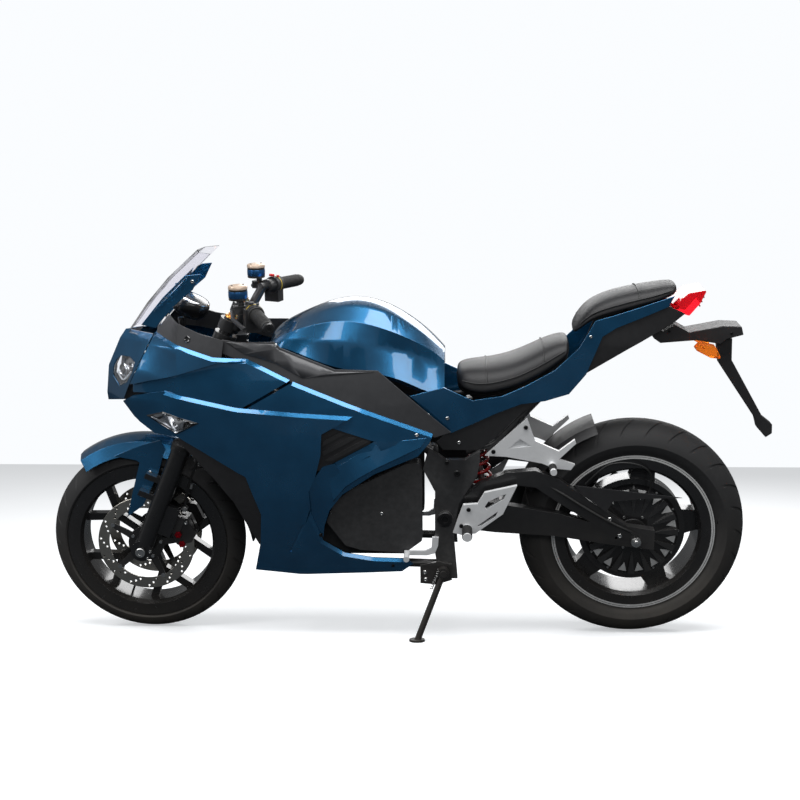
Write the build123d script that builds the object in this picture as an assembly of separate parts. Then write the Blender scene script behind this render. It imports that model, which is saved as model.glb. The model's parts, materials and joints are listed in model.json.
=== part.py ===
from build123d import *
import os
from math import sin, cos, tan, atan2, radians, degrees

os.makedirs("parts", exist_ok=True)

# Driving dimensions, in millimetres and degrees.
# The bike is drawn upright: X runs to the rear from midway between the axles, Y to the rider's right,
# Z up from the ground. At the end it is leant to its left onto the side stand.
wheelbase = 1400
lean = 13
rake = 23
fork_offset = 30
leg_spacing = 210
clearance = 0.3
running_fit = 0.05

front_tyre_r = 281
front_tyre_w = 110
rear_tyre_r = 321
rear_tyre_w = 150
rim_flange_r = 232
rim_seat_r = 216
rim_flange_t = 5
front_rim_w = 89
rear_rim_w = 114

panel_t = 4
ledge_t = 10          # how deep a fairing panel's turned edge reaches in
ledge_w = 13          # its width, seen from the side
bevel_w = 9
nose_t = 6.4
screen_t = 3
tank_floor = 800
bracket_in = 114

front_crown_r = front_tyre_w / 2
rear_crown_r = rear_tyre_w / 2
front_axle_x = -wheelbase / 2
rear_axle_x = wheelbase / 2
# A leant tyre rolls on the side of its crown, so each axle stands a little higher than the tyre's radius.
front_axle_z = front_tyre_r - front_crown_r + front_crown_r / cos(radians(lean))
rear_axle_z = rear_tyre_r - rear_crown_r + rear_crown_r / cos(radians(lean))

parts = {}


# Small builders, all in the upright frame

def slab(outline, y_from, y_to, radius=0):
    """An XZ outline drawn out between two Y values, with its corners rounded by radius."""
    if radius:
        edge = FilletPolyline(*outline, radius=radius, close=True)
    else:
        edge = Polyline(*outline, close=True)
    plane = Plane(origin=(0, y_to, 0), x_dir=(1, 0, 0), z_dir=(0, -1, 0))
    return extrude(plane * make_face(edge), amount=y_to - y_from, dir=(0, -1, 0))


def rod(x, z, y_from, y_to, radius, bore=0):
    """A round bar or tube along Y."""
    plane = Plane(origin=(x, y_from, z), x_dir=(1, 0, 0), z_dir=(0, 1, 0))
    section = Circle(radius)
    if bore:
        section = section - Circle(bore)
    return extrude(plane * section, amount=y_to - y_from)


def pin(start, end, radius, bore=0):
    """A round bar or tube between two points."""
    a = Vector(*start)
    b = Vector(*end)
    section = Circle(radius)
    if bore:
        section = section - Circle(bore)
    return extrude(Plane(origin=a, z_dir=b - a) * section, amount=(b - a).length)


def tube_run(points, radius, bend):
    """A bent tube: straight runs joined by tangent arcs."""
    path = FilletPolyline(*points, radius=bend) if len(points) > 2 else Line(*points)
    return sweep(Plane(origin=path @ 0, z_dir=path % 0) * Circle(radius), path=path)


def turned(profile, x, z):
    """A ring turned about the Y line through x, z. The profile's points are radius and Y."""
    plane = Plane(origin=(x, 0, z), x_dir=(1, 0, 0), z_dir=(0, 0, 1))
    face = make_face(Polyline(*profile, close=True))
    return revolve(plane * face, axis=Axis((x, 0, z), (0, 1, 0)))


def both_sides(solid):
    """The solid and its mirror image on the other side."""
    return [solid, mirror(solid, about=Plane.XZ)]


def stack(rows):
    """A ruled loft through polygons; each row is a list of 3-D points."""
    return loft([make_face(Polyline(*row, close=True)) for row in rows], ruled=True)


def fused(pieces):
    """One solid from touching pieces."""
    total = pieces[0]
    for piece in pieces[1:]:
        total = total + piece
    return total


# Fork frame: origin on the front axle, Z up along the fork legs, X to the rear and square to them
fork_place = Pos(front_axle_x, 0, front_axle_z) * Rot(0, rake, 0)
fork_up = Vector(sin(radians(rake)), 0, cos(radians(rake)))
fork_back = Vector(cos(radians(rake)), 0, -sin(radians(rake)))
leg_y = leg_spacing / 2


def fork_point(back, y, up):
    """A point given in the fork frame, as upright coordinates."""
    v = Vector(front_axle_x, y, front_axle_z) + fork_back * back + fork_up * up
    return (v.X, v.Y, v.Z)


# Wheels

front_axle_r = 10
rear_axle_r = 8
spoke_t = 26


def tyre(outer_r, width, crown_r, rim_w, x, z):
    """A tyre section: bead inside the rim flanges, short wall, round crown."""
    bead_y = rim_w / 2 - clearance
    bead_r = rim_seat_r + clearance
    shoulder_y = width / 2 * 0.97
    centre_r = outer_r - crown_r
    shoulder_r = centre_r + (crown_r ** 2 - shoulder_y ** 2) ** 0.5
    wall_r = rim_flange_r + 2
    edges = Polyline((shoulder_r, shoulder_y), (wall_r, bead_y), (bead_r, bead_y),
                     (bead_r, -bead_y), (wall_r, -bead_y), (shoulder_r, -shoulder_y))
    crown = ThreePointArc((shoulder_r, -shoulder_y), (outer_r, 0), (shoulder_r, shoulder_y))
    plane = Plane(origin=(x, 0, z), x_dir=(1, 0, 0), z_dir=(0, 0, 1))
    return revolve(plane * make_face([edges, crown]), axis=Axis((x, 0, z), (0, 1, 0)))


def rim_ring(rim_w, inner_r, x, z):
    """The cast rim's channel: two flanges, bead seats and a dropped centre."""
    seat = rim_w / 2
    edge = seat + rim_flange_t
    drop = seat * 0.55
    well_r = rim_seat_r - 10
    profile = [(rim_flange_r, edge), (rim_flange_r, seat), (rim_seat_r, seat), (rim_seat_r, seat * 0.75),
               (well_r, drop), (well_r, -drop), (rim_seat_r, -seat * 0.75), (rim_seat_r, -seat),
               (rim_flange_r, -seat), (rim_flange_r, -edge), (inner_r + 8, -edge), (inner_r, -edge + 12),
               (inner_r, edge - 12), (inner_r + 8, edge)]
    return turned(profile, x, z)


def around(solid, count, x, z, start=0):
    """Copies of a solid turned about the Y line through x, z."""
    axis = Axis((x, 0, z), (0, 1, 0))
    return [solid.rotate(axis, start + 360 / count * i) for i in range(count)]


parts["front_tyre"] = tyre(front_tyre_r, front_tyre_w, front_crown_r, front_rim_w, front_axle_x, front_axle_z)
parts["rear_tyre"] = tyre(rear_tyre_r, rear_tyre_w, rear_crown_r, rear_rim_w, rear_axle_x, rear_axle_z)

# Front rim: five forked spokes between the hub and the ring
front_hub_r = 36
front_hub_half = 59
front_inner_r = rim_seat_r - 27
fork_r = 118          # radius where a spoke forks
disc_t = 4.5


def at_angle(radius, degrees_, x, z):
    """A point in the wheel's plane."""
    return (x + radius * sin(radians(degrees_)), z + radius * cos(radians(degrees_)))


def front_spoke():
    """One spoke: a stem that forks into two arms, in the wheel's plane."""
    x, z = front_axle_x, front_axle_z
    end_r = front_inner_r + 4
    outline = [at_angle(25, -24, x, z), at_angle(fork_r - 14, -6, x, z), at_angle(end_r, -21, x, z),
               at_angle(end_r, -14, x, z), at_angle(fork_r + 6, 0, x, z), at_angle(end_r, 14, x, z),
               at_angle(end_r, 21, x, z), at_angle(fork_r - 14, 6, x, z), at_angle(25, 24, x, z)]
    return slab(outline, -spoke_t / 2, spoke_t / 2)


front_hub = rod(front_axle_x, front_axle_z, -front_hub_half, front_hub_half, front_hub_r)
front_rim = fused([front_hub, rim_ring(front_rim_w, front_inner_r, front_axle_x, front_axle_z)]
                  + around(front_spoke(), 5, front_axle_x, front_axle_z, 18))
front_rim = front_rim - rod(front_axle_x, front_axle_z, -90, 90, front_axle_r + running_fit)
parts["front_rim"] = front_rim

# Front brake discs on their carriers
front_disc_r = 140
front_disc_in = 108


def disc(x, z, y, outer_r, inner_r, hub_r, bore_r, arms):
    """A brake disc with the arms and ring that bolt it to the hub."""
    y0, y1 = y - disc_t / 2, y + disc_t / 2
    band = rod(x, z, y0, y1, outer_r, inner_r)
    ring = rod(x, z, y0, y1, hub_r, bore_r)
    arm = slab([(x - 9, z + hub_r - 4), (x - 6, z + inner_r + 4), (x + 6, z + inner_r + 4), (x + 9, z + hub_r - 4)],
               y0, y1)
    return fused([band, ring] + around(arm, arms, x, z, 12))


# Each disc is clamped against the hub's end by its ring.
hub_face_y = front_hub_half
front_disc_y = hub_face_y + disc_t / 2
parts["front_discs"] = both_sides(disc(front_axle_x, front_axle_z, front_disc_y, front_disc_r, front_disc_in,
                                       52, 22, 5))

# Rear wheel: rim, hub motor and disc
motor_r = 135
motor_half = 58
rear_inner_r = rim_seat_r - 30
motor_ring_r = 152
rear_disc_r = 110
rear_disc_y = motor_half + 22


def rear_spoke():
    """One broad spoke between the ring round the motor and the rim."""
    x, z = rear_axle_x, rear_axle_z
    r0, r1 = motor_ring_r - 6, rear_inner_r + 4
    outline = [at_angle(r0, -15, x, z), at_angle(r1, -9, x, z), at_angle(r1, 9, x, z), at_angle(r0, 15, x, z)]
    return slab(outline, -22, 22)


motor_ring = rod(rear_axle_x, rear_axle_z, -30, 30, motor_ring_r, motor_r)
rear_rim = fused([motor_ring, rim_ring(rear_rim_w, rear_inner_r, rear_axle_x, rear_axle_z)]
                 + around(rear_spoke(), 5, rear_axle_x, rear_axle_z, 10))
parts["rear_rim"] = rear_rim

motor_profile = [(motor_r, -30), (motor_r, 30), (motor_r - 8, 44), (motor_r - 40, motor_half),
                 (rear_axle_r + running_fit, motor_half), (rear_axle_r + running_fit, -motor_half),
                 (motor_r - 78, -motor_half), (motor_r - 40, -50), (motor_r - 8, -44)]
hub_motor = turned(motor_profile, rear_axle_x, rear_axle_z)
rib_x, rib_z = rear_axle_x, rear_axle_z
motor_rib = slab([at_angle(60, -1.5, rib_x, rib_z), at_angle(motor_r - 6, -4.5, rib_x, rib_z),
                  at_angle(motor_r - 6, 4.5, rib_x, rib_z), at_angle(60, 1.5, rib_x, rib_z)], -motor_half, -40)
parts["hub_motor"] = fused([hub_motor] + around(motor_rib, 16, rear_axle_x, rear_axle_z))

rear_disc = disc(rear_axle_x, rear_axle_z, rear_disc_y, rear_disc_r, 82, 44, 26, 5)
rear_disc_spacer = rod(rear_axle_x, rear_axle_z, motor_half, rear_disc_y, 40, 26)
parts["rear_disc"] = rear_disc + rear_disc_spacer

# Fork: sliders, tubes, yokes and stem
slider_r = 26
tube_r = 20
stem_r = 15
slider_top = 330
fork_tube_top = 735
lower_yoke_up = 470
upper_yoke_up = 676
yoke_t = 34
head_gap = 1.5


def in_fork(solid):
    """Moves a solid drawn in the fork frame to its place."""
    return fork_place * solid


def leg_rod(y, up_from, up_to, radius, bore=0, back=0):
    """A round bar along the fork, drawn in the fork frame."""
    section = Circle(radius)
    if bore:
        section = section - Circle(bore)
    return Pos(back, y, up_from) * extrude(section, amount=up_to - up_from)


lug_t = 22
fender_half = 68
lug_in = fender_half + clearance
lug_face = leg_y - lug_t / 2


def slider():
    """The right slider with its axle lug and brake lugs."""
    body = leg_rod(leg_y, -20, slider_top, slider_r)
    foot = Pos(0, leg_y, 0) * Rot(90, 0, 0) * Cylinder(30, 2 * slider_r - 6)
    lug = Pos(38, leg_y, 110) * Box(44, lug_t, 90)
    lip = leg_rod(leg_y, slider_top - 12, slider_top, slider_r + 4)
    fender_lugs = [Pos(-42, (lug_in + leg_y - 12) / 2, up) * Box(56, leg_y - 12 - lug_in, 16) for up in (150, 205)]
    return fused([body, foot, lug, lip] + fender_lugs)


axle_hole = Rot(90, 0, 0) * Cylinder(front_axle_r + clearance, 400)
legs = []
for side in (1, -1):
    leg = slider()
    leg = leg - axle_hole
    tube = leg_rod(leg_y, slider_top, fork_tube_top, tube_r)
    leg = leg + tube
    legs.append(in_fork(leg if side == 1 else mirror(leg, about=Plane.XZ)))
parts["fork_legs"] = legs


def yoke(up, thick):
    """A clamp plate that holds both tubes ahead of the steering stem."""
    edge = [(-26, -leg_y), (-26, leg_y), (16, leg_y), (fork_offset + 24, 34), (fork_offset + 24, -34), (16, -leg_y)]
    plate = Pos(0, 0, up - thick / 2) * extrude(make_face(Polyline(*edge, close=True)), amount=thick)
    ends = [Pos(0, s * leg_y, up) * Cylinder(tube_r + 12, thick) for s in (1, -1)]
    return fused([plate] + ends)


stem = leg_rod(0, lower_yoke_up - 10, upper_yoke_up + 28, stem_r, 0, fork_offset)
lower_yoke = yoke(lower_yoke_up, yoke_t)
upper_yoke = yoke(upper_yoke_up, yoke_t * 0.7)
holes = [leg_rod(s * leg_y, lower_yoke_up - 60, fork_tube_top + 40, tube_r + clearance) for s in (1, -1)]
stem_nut = Pos(fork_offset, 0, upper_yoke_up + yoke_t * 0.35 + 8) * Cylinder(19, 16)
yokes = fused([lower_yoke, upper_yoke, stem, stem_nut])
for hole in holes:
    yokes = yokes - hole
parts["fork_yokes"] = in_fork(yokes)

axle_head_y = leg_y + slider_r + clearance
parts["fork_legs"] += [fused([
    rod(front_axle_x, front_axle_z, -axle_head_y, axle_head_y, front_axle_r),
    rod(front_axle_x, front_axle_z, -axle_head_y - 7, -axle_head_y, 15),
    rod(front_axle_x, front_axle_z, axle_head_y, axle_head_y + 7, 15)])]

# Front calipers straddle the discs behind the legs.
caliper_gap = 5
disc_slot = disc_t + 2 * caliper_gap


def caliper_body(centre_r, disc_edge, depth, height, width, y, cap_t):
    """A caliper that looks at the axle from the origin's +X, with a slot for a disc at y.

    Its ends taper, its bridge has a window over the pads, and the pistons' caps stand out on both faces."""
    x0, x1, half = centre_r - depth / 2, centre_r + depth / 2, height / 2
    outline = [(x0, -half * 0.8), (x0, half * 0.8), (x1 - 22, half), (x1, half * 0.62), (x1, -half * 0.62),
               (x1 - 22, -half)]
    body = slab(outline, y - width / 2, y + width / 2, 6)
    caps = [rod(centre_r - 4, up, y - width / 2 - cap_t, y + width / 2, height * 0.17)
            for up in (-height * 0.2, height * 0.2)]
    slot_end = disc_edge + caliper_gap
    slot_start = x0 - 1
    slot = Pos((slot_start + slot_end) / 2, y, 0) * Box(slot_end - slot_start, disc_slot, height + 2)
    window = Pos(x1 - 6, y, 0) * Box(40, disc_slot - 4, height * 0.45)
    return fused([body] + caps) - slot - window


# Turned up from the fork frame's X so that it looks at the axle
front_caliper = Rot(0, -46, 0) * caliper_body(122, front_disc_r, 64, 84, 54, front_disc_y, 0)
front_arm = Pos(58, lug_face - clearance - 6, 100) * Box(44, 12, 56)
front_caliper = in_fork(front_caliper + front_arm)
parts["front_calipers"] = both_sides(front_caliper)

# Front fender: a curved cover over the tyre with side arms to the legs
fender_gap = 12
fender_r = front_tyre_r + fender_gap


def arc_band(x, z, r_in, r_out, a_from, a_to, y_from, y_to):
    """Part of a ring about a wheel's axle, between two angles measured from straight up towards the rear."""
    steps = 10
    outer = [at_angle(r_out, a_from + (a_to - a_from) * i / steps, x, z) for i in range(steps + 1)]
    inner = [at_angle(r_in, a_to + (a_from - a_to) * i / steps, x, z) for i in range(steps + 1)]
    return slab(outer + inner, y_from, y_to)


def hoop(x, z, r_top, half_w, drop, thick, a_from, a_to):
    """A cover with a crowned cross-section, swept about a wheel's axle."""
    outer = [(r_top - drop, -half_w), (r_top - drop * 0.25, -half_w * 0.72), (r_top, -half_w * 0.25),
             (r_top, half_w * 0.25), (r_top - drop * 0.25, half_w * 0.72), (r_top - drop, half_w)]
    inner = [(r - thick if abs(y) < half_w * 0.9 else r, y - thick if y > 0 else y + thick) for r, y in outer]
    plane = Plane(origin=(x, 0, z), x_dir=(1, 0, 0), z_dir=(0, 0, 1))
    face = plane * make_face(Polyline(*outer, *reversed(inner), close=True))
    axis = Axis((x, 0, z), (0, 1, 0))
    swept = revolve(face, axis=axis, revolution_arc=a_to - a_from)
    return swept.rotate(axis, a_from - 90)


fender_top = hoop(front_axle_x, front_axle_z, fender_r + 22, fender_half, 46, panel_t, -36, 26)
fender_side = [(-775, 548), (-712, 536), (-703, 529), (-730, 435), (-748, 365), (-700, 400), (-650, 500),
               (-628, 570), (-640, 596), (-700, 580)]
side_y = fender_half
fender_arm = slab(fender_side, side_y - panel_t, side_y)
parts["front_fender"] = fused([fender_top] + both_sides(fender_arm))

# Handlebars: a clamp round each tube above the top yoke, a riser and the bar
bar_r = 11
grip_r = 17
bar_in = (-363, 140, 997)
bar_out = (-284, 330, 981)
clamp_up = upper_yoke_up + 38


def along(a, b, distance):
    """The point at a distance from a towards b."""
    v = Vector(*a) + (Vector(*b) - Vector(*a)).normalized() * distance
    return (v.X, v.Y, v.Z)


clamp = in_fork(leg_rod(leg_y, clamp_up - 15, clamp_up + 15, tube_r + 10)
                - leg_rod(leg_y, clamp_up - 16, clamp_up + 16, tube_r + clearance))
riser_start = fork_point(22, leg_y + 14, clamp_up)
riser = pin(riser_start, bar_in, 13)
bar = pin(along(bar_in, bar_out, -14), bar_out, bar_r)
clear_tube = in_fork(leg_rod(leg_y, clamp_up - 60, fork_tube_top + 1, tube_r + clearance))
bar_hole_r = 4
bar_hole_deep = 30
bar_hole = pin(along(bar_out, bar_in, bar_hole_deep), along(bar_out, bar_in, -1), bar_hole_r)
parts["clip_on_bars"] = both_sides(fused([clamp, riser, bar]) - clear_tube - bar_hole)

bar_len = (Vector(*bar_out) - Vector(*bar_in)).length
bar_sweep = degrees(atan2(bar_out[0] - bar_in[0], bar_out[1] - bar_in[1]))
grip_len = 118
grip_start = along(bar_in, bar_out, bar_len - grip_len)
grip_end = along(bar_in, bar_out, bar_len + 6)
grip = pin(grip_start, grip_end, grip_r, bar_r + clearance)
parts["grips"] = both_sides(grip)

switch_start = along(bar_in, bar_out, bar_len - grip_len - 36)
switch_end = along(bar_in, bar_out, bar_len - grip_len - 1)
switch_pod = pin(switch_start, switch_end, 24)
switch_box = Pos(*along(bar_in, bar_out, bar_len - grip_len - 18)) * Rot(0, 0, -bar_sweep) * Pos(-4, 0, -18) * Box(46, 30, 62)
switch = switch_pod + switch_box - pin(along(bar_in, bar_out, -20), bar_out, bar_r + clearance)
parts["switchgear"] = both_sides(switch)

# Lever holders with the fluid cups, and the levers ahead of the grips
holder_at = along(bar_in, bar_out, bar_len - grip_len - 54)
holder = pin(along(bar_in, bar_out, bar_len - grip_len - 68), along(bar_in, bar_out, bar_len - grip_len - 38), 19)
holder_block = Pos(*holder_at) * Rot(0, 0, -bar_sweep) * Pos(-26, 0, 2) * Box(44, 26, 22)
cup_at = Vector(*holder_at) + Vector(-34, -6, 44)
cup = Pos(cup_at.X, cup_at.Y, cup_at.Z) * Cylinder(25, 36)
cup_post = pin((cup_at.X + 8, cup_at.Y, cup_at.Z - 10), (holder_at[0] - 26, holder_at[1], holder_at[2]), 8)
master = fused([holder, holder_block, cup_post, cup]) - pin(along(bar_in, bar_out, -20), bar_out, bar_r + clearance)
brake_masters = both_sides(master)

lever_root = Vector(*holder_at) + Vector(-48, 14, -2)
lever_mid = Vector(*grip_start) + Vector(-58, 20, -8)
lever_tip = Vector(*grip_end) + Vector(-62, -14, -8)
lever = tube_run([(lever_root.X, lever_root.Y, lever_root.Z), (lever_mid.X, lever_mid.Y, lever_mid.Z),
                  (lever_tip.X, lever_tip.Y, lever_tip.Z)], 6, 60)
parts["brake_levers"] = brake_masters + both_sides(lever - holder_block)

# Fairing body: half-widths at fixed stations for each level, from which every panel is cut.
# X is measured from the front axle, here and in the panels' outlines.
# Columns: level, nose x, half-width at the shoulder, then at each station
stations = (140, 300, 480, 660, 840, 940)
levels = (
    (215, 0, 60, 110, 132, 142, 136, 124, 110),
    (340, -40, 80, 138, 162, 172, 166, 154, 132),
    (480, -80, 96, 152, 186, 194, 186, 168, 145),
    (620, -92, 98, 165, 198, 205, 196, 174, 150),
    (720, -100, 102, 170, 200, 203, 190, 168, 150),
    (800, -90, 94, 164, 192, 192, 176, 160, 148),
    (880, -52, 78, 150, 178, 172, 160, 150, 140),
    (980, 20, 50, 118, 152, 150, 145, 140, 130),
)
shoulder_run = 96


def level_row(level):
    """One level's half outline, from the nose to the rear, as x and half-width."""
    z, nose, shoulder, *widths = level
    row = [(nose, 0), (nose + shoulder_run, shoulder)] + list(zip(stations, widths))
    return [(front_axle_x + x, w) for x, w in row]


def fairing_solid(inset):
    """The right half of the fairing's outer form, moved inwards by inset."""
    rows = []
    for level in levels:
        z = level[0]
        tip, *side = level_row(level)
        row = [(tip[0] + inset, 0, z)]
        row += [(x, w - inset, z) for x, w in side]
        row += [(side[-1][0], 0, z)]
        rows.append(row)
    return stack(rows)


def half_width(x, z):
    """How far the fairing's form reaches from the middle plane at a point seen from the side."""
    low, high = next((a, b) for a, b in zip(levels, levels[1:]) if z <= b[0])
    share = (z - low[0]) / (high[0] - low[0])
    row = [(a[0] + (b[0] - a[0]) * share, a[1] + (b[1] - a[1]) * share)
           for a, b in zip(level_row(low), level_row(high))]
    (x0, w0), (x1, w1) = next(run for run in zip(row, row[1:]) if x <= run[1][0])
    return w0 + (w1 - w0) * (x - x0) / (x1 - x0)


fairing_cache = {}


def fairing_layer(inset, depth):
    """What lies between the form at an inset and the form a depth further in."""
    if (inset, depth) not in fairing_cache:
        fairing_cache[inset, depth] = fairing_solid(inset) - fairing_solid(inset + depth)
    return fairing_cache[inset, depth]


def from_axle(outline):
    """Points whose X is measured from the front axle, in the bike's own X."""
    return [(front_axle_x + x, z) for x, z in outline]


def side_slab(outline, y_min=4):
    """An outline drawn out over the right half of the fairing."""
    return slab(from_axle(outline), y_min, 260)


def panel(outline, inset, y_min=4):
    """A fairing panel: the skin inside an outline, right side."""
    return fairing_layer(inset, panel_t) & side_slab(outline, y_min)


def shifted(points, distance):
    """A run of points moved to the right of its own direction, with mitred corners."""
    normals = []
    for (x0, z0), (x1, z1) in zip(points, points[1:]):
        length = ((x1 - x0) ** 2 + (z1 - z0) ** 2) ** 0.5
        normals.append(((z1 - z0) / length, (x0 - x1) / length))
    moved = []
    for (x, z), (ax, az), (bx, bz) in zip(points, [normals[0]] + normals, normals + [normals[-1]]):
        scale = distance / (1 + ax * bx + az * bz)
        moved.append((x + (ax + bx) * scale, z + (az + bz) * scale))
    return moved


def crossings(points):
    """The points of an edge, with those added where it crosses a station or a level."""
    out = [points[0]]
    for (x0, z0), (x1, z1) in zip(points, points[1:]):
        shares = [(x - x0) / (x1 - x0) for x in stations if min(x0, x1) < x < max(x0, x1)]
        shares += [(z - z0) / (z1 - z0) for z, *rest in levels if min(z0, z1) < z < max(z0, z1)]
        out += [(x0 + (x1 - x0) * share, z0 + (z1 - z0) * share) for share in sorted(shares)]
        out.append((x1, z1))
    return out


def edge_wedge(edge, inset, width, depth):
    """What a bevel takes off an edge: width across the face and depth down the side."""
    points = crossings(edge)
    rows = []
    for out, face in zip(from_axle(shifted(points, -2)), from_axle(shifted(points, width))):
        edge_y = half_width(*out) - inset
        face_y = half_width(*face) - inset
        rows.append([(out[0], edge_y + 4, out[1]), (face[0], face_y, face[1]), (out[0], edge_y - depth, out[1])])
    return stack(rows)


def bevelled_panel(outline, inset, edges, y_min=4):
    """A panel with edges that turn in and are bevelled; each edge is a run of the outline with its bevel's width."""
    solid = panel(outline, inset, y_min)
    for edge, width in edges:
        strip = edge + shifted(edge, width + ledge_w - bevel_w)[::-1]
        solid = solid + (fairing_layer(inset + panel_t / 2, ledge_t - panel_t / 2)
                         & side_slab(strip, y_min) & side_slab(outline, y_min))
    for edge, width in edges:
        solid = solid - edge_wedge(edge, inset, width, ledge_t - 1)
    return solid


# The layers lie one behind another, each just clear of the turned edges of the one outside it.
outer_inset = -panel_t
middle_inset = outer_inset + ledge_t + clearance
deep_inset = middle_inset + ledge_t + clearance
vent_inset = middle_inset + panel_t + clearance
liner_inset = outer_inset + panel_t + clearance

# Tail cowl from levels of its plan, like the fairing
tail_stations = (40, 150, 240, 400, 560, 700, 790, 860)
tail_levels = (
    (590, 126, 132, 134, 118, 98, 78, 50, 20),
    (740, 140, 142, 140, 126, 106, 86, 64, 40),
    (880, 138, 138, 134, 124, 112, 96, 78, 52),
    (1040, 110, 110, 108, 104, 100, 90, 76, 58),
)


def tail_solid(inset):
    rows = []
    for z, *widths in tail_levels:
        row = [(tail_stations[0], 0, z)]
        row += [(x, w - inset, z) for x, w in zip(tail_stations, widths)]
        row += [(tail_stations[-1], 0, z)]
        rows.append(row)
    return stack(rows)



# Frame: head tube, two spars, cradle tubes and cross tubes
head_r = 28
head_low = lower_yoke_up + yoke_t / 2 + head_gap
head_high = upper_yoke_up - yoke_t * 0.35 - head_gap
spar_r = 16
cradle_r = 12
spar_y = 128
plate_in = 126.5
plate_t = 22
pivot_x, pivot_z = 167, 397
head_tube = in_fork(leg_rod(0, head_low, head_high, head_r, 0, fork_offset))
head_bore = in_fork(leg_rod(0, head_low - 5, head_high + 5, stem_r + running_fit, 0, fork_offset))
spar_top = fork_point(fork_offset + 20, 18, head_high - 45)
spar = tube_run([spar_top, (front_axle_x + 400, 100, 740), (-60, spar_y, 690), (130, spar_y, 590)], spar_r, 70)
down_top = fork_point(fork_offset + 14, 14, head_low + 46)
cradle = tube_run([down_top, (front_axle_x + 355, 95, 520), (front_axle_x + 400, 112, 258), (160, 112, 246)],
                  cradle_r, 60)
cross_low_x, cross_low_z = front_axle_x + 450, 256.5
cross_low = rod(cross_low_x, cross_low_z, -112, 112, cradle_r)
cross_high = rod(-60, 690, -spar_y, spar_y, cradle_r)
casting = [(123, 601), (168, 567), (222, 567), (263, 593), (262, 560), (255, 519), (205, 440), (190, 355),
           (202, 216), (150, 216), (138, 296), (139, 475), (106, 540)]
plate = slab(casting, plate_in, plate_in + plate_t)
spar_foot = rod(130, 590, spar_y - 16, plate_in + 10, 18)
cradle_foot = rod(160, 246, 105, plate_in + 4, 16)
pivot_bore = rod(pivot_x, pivot_z, -200, 200, 8 + clearance)

# Stays welded to the tubes carry the fairing, the tank and the nose.
stay_r = 7
inside_outer = fairing_solid(outer_inset + panel_t + clearance)
inside_middle = fairing_solid(middle_inset + panel_t + clearance)
spar_stay = rod(-60, 690, spar_y, 230, stay_r) & inside_middle
belly_stay = rod(40, 250, 112, 200, stay_r) & inside_outer
front_stay = rod(cross_low_x, cross_low_z, 105, 230, stay_r) & inside_outer
tank_post = pin((-60, 60, 690), (-60, 60, tank_floor - clearance), stay_r)
frame = head_tube
for piece in (spar, plate, spar_foot, cradle_foot, cradle, spar_stay, belly_stay, front_stay):
    for solid in both_sides(piece):
        frame = frame + solid
frame = frame + cross_low + cross_high
for solid in both_sides(tank_post):
    frame = frame + solid
nose_from = fork_point(fork_offset - 10, 0, 600)
nose_beam_x, nose_beam_z = front_axle_x + 60, 850
nose_beam = pin(nose_from, (nose_beam_x, 0, nose_beam_z), 12)
nose_reach = rod(nose_beam_x, nose_beam_z, -200, 200, 9)
inside_both = inside_outer + mirror(inside_outer, about=Plane.XZ)
nose_tip_stay = pin((nose_beam_x + 2, 0, nose_beam_z), (nose_beam_x - 150, 0, nose_beam_z), 9)
nose_inner = fairing_solid(nose_t + clearance)
nose_inner = nose_inner + mirror(nose_inner, about=Plane.XZ)
frame = frame + nose_beam + (nose_reach & inside_both) + (nose_tip_stay & nose_inner)
cluster_base = 938
cluster_x = front_axle_x + 125
cluster_post = pin((cluster_x, 0, 842), (cluster_x, 0, cluster_base - clearance), 9)
frame = frame + cluster_post
frame = frame - head_bore - pivot_bore
parts["main_frame"] = frame

# Seats: sections across the bike
# Columns: x, top z, edge z, half-width
rider_rows = (
    (196, 800, 768, 70),
    (240, 810, 752, 118),
    (320, 820, 762, 128),
    (400, 850, 790, 122),
    (465, 880, 828, 112),
    (512, 884, 862, 92),
)
pillion_rows = (
    (516, 912, 905, 55),
    (560, 984, 948, 84),
    (640, 1014, 974, 90),
    (740, 1032, 1001, 86),
    (800, 1038, 1020, 60),
)
rider_base = 31.1
pillion_base = 14


def seat_floor(rows, base, x):
    """The height of a seat's underside at x."""
    (x0, _, z0, _), (x1, _, z1, _) = next(run for run in zip(rows, rows[1:]) if x <= run[1][0])
    return z0 + (z1 - z0) * (x - x0) / (x1 - x0) - base


# Rear subframe: rails and struts to the tail
rail_r = 11
rail_y = 88
tail_bar_x, tail_bar_z = 790, 950
carrier_bar_x, carrier_bar_z = 748, 915
shock_top_x, shock_top_z = 232, 694
rail = tube_run([(60, 112, 660), (shock_top_x + 18, rail_y, shock_top_z + 6), (470, rail_y, 760), (tail_bar_x, 52, tail_bar_z)], rail_r, 120)
strut = tube_run([(225, 112, 585), (300, 104, 600), (440, rail_y, 745)], rail_r, 60)
peg_bosses = [rod(292, 586, 100, bracket_in - clearance, 10), rod(380, 667, rail_y, bracket_in - clearance, 9)]
inside_tail = tail_solid(panel_t + clearance)
cowl_stays = [rod(250, 700, rail_y, 200, stay_r) & inside_tail, rod(470, 762, rail_y, 200, stay_r) & inside_tail]
high_x, high_z = 658, 954
post_r = 8
post_top = seat_floor(pillion_rows, pillion_base, high_x - post_r) - clearance
high_post = pin((high_x, 66, 872), (high_x, 66, post_top), post_r)
high_stay = high_post + (rod(high_x, high_z, 66, 160, 6) & inside_tail)
half = rail
for piece in [strut] + peg_bosses + cowl_stays + [high_stay]:
    half = half + piece
subframe = half + rod(470, 760, -rail_y, rail_y, rail_r - 2) + mirror(half, about=Plane.XZ)
subframe = subframe + rod(tail_bar_x, tail_bar_z, -52, 52, rail_r)
subframe = subframe + rod(carrier_bar_x, carrier_bar_z, -58, 58, 9)
subframe = subframe + rod(shock_top_x, shock_top_z, -rail_y, rail_y, 6)
lamp_seat = slab([(778, 948), (808, 948), (808, 958.4), (785, 965.4), (778, 965.4)], -40, 40)
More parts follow.
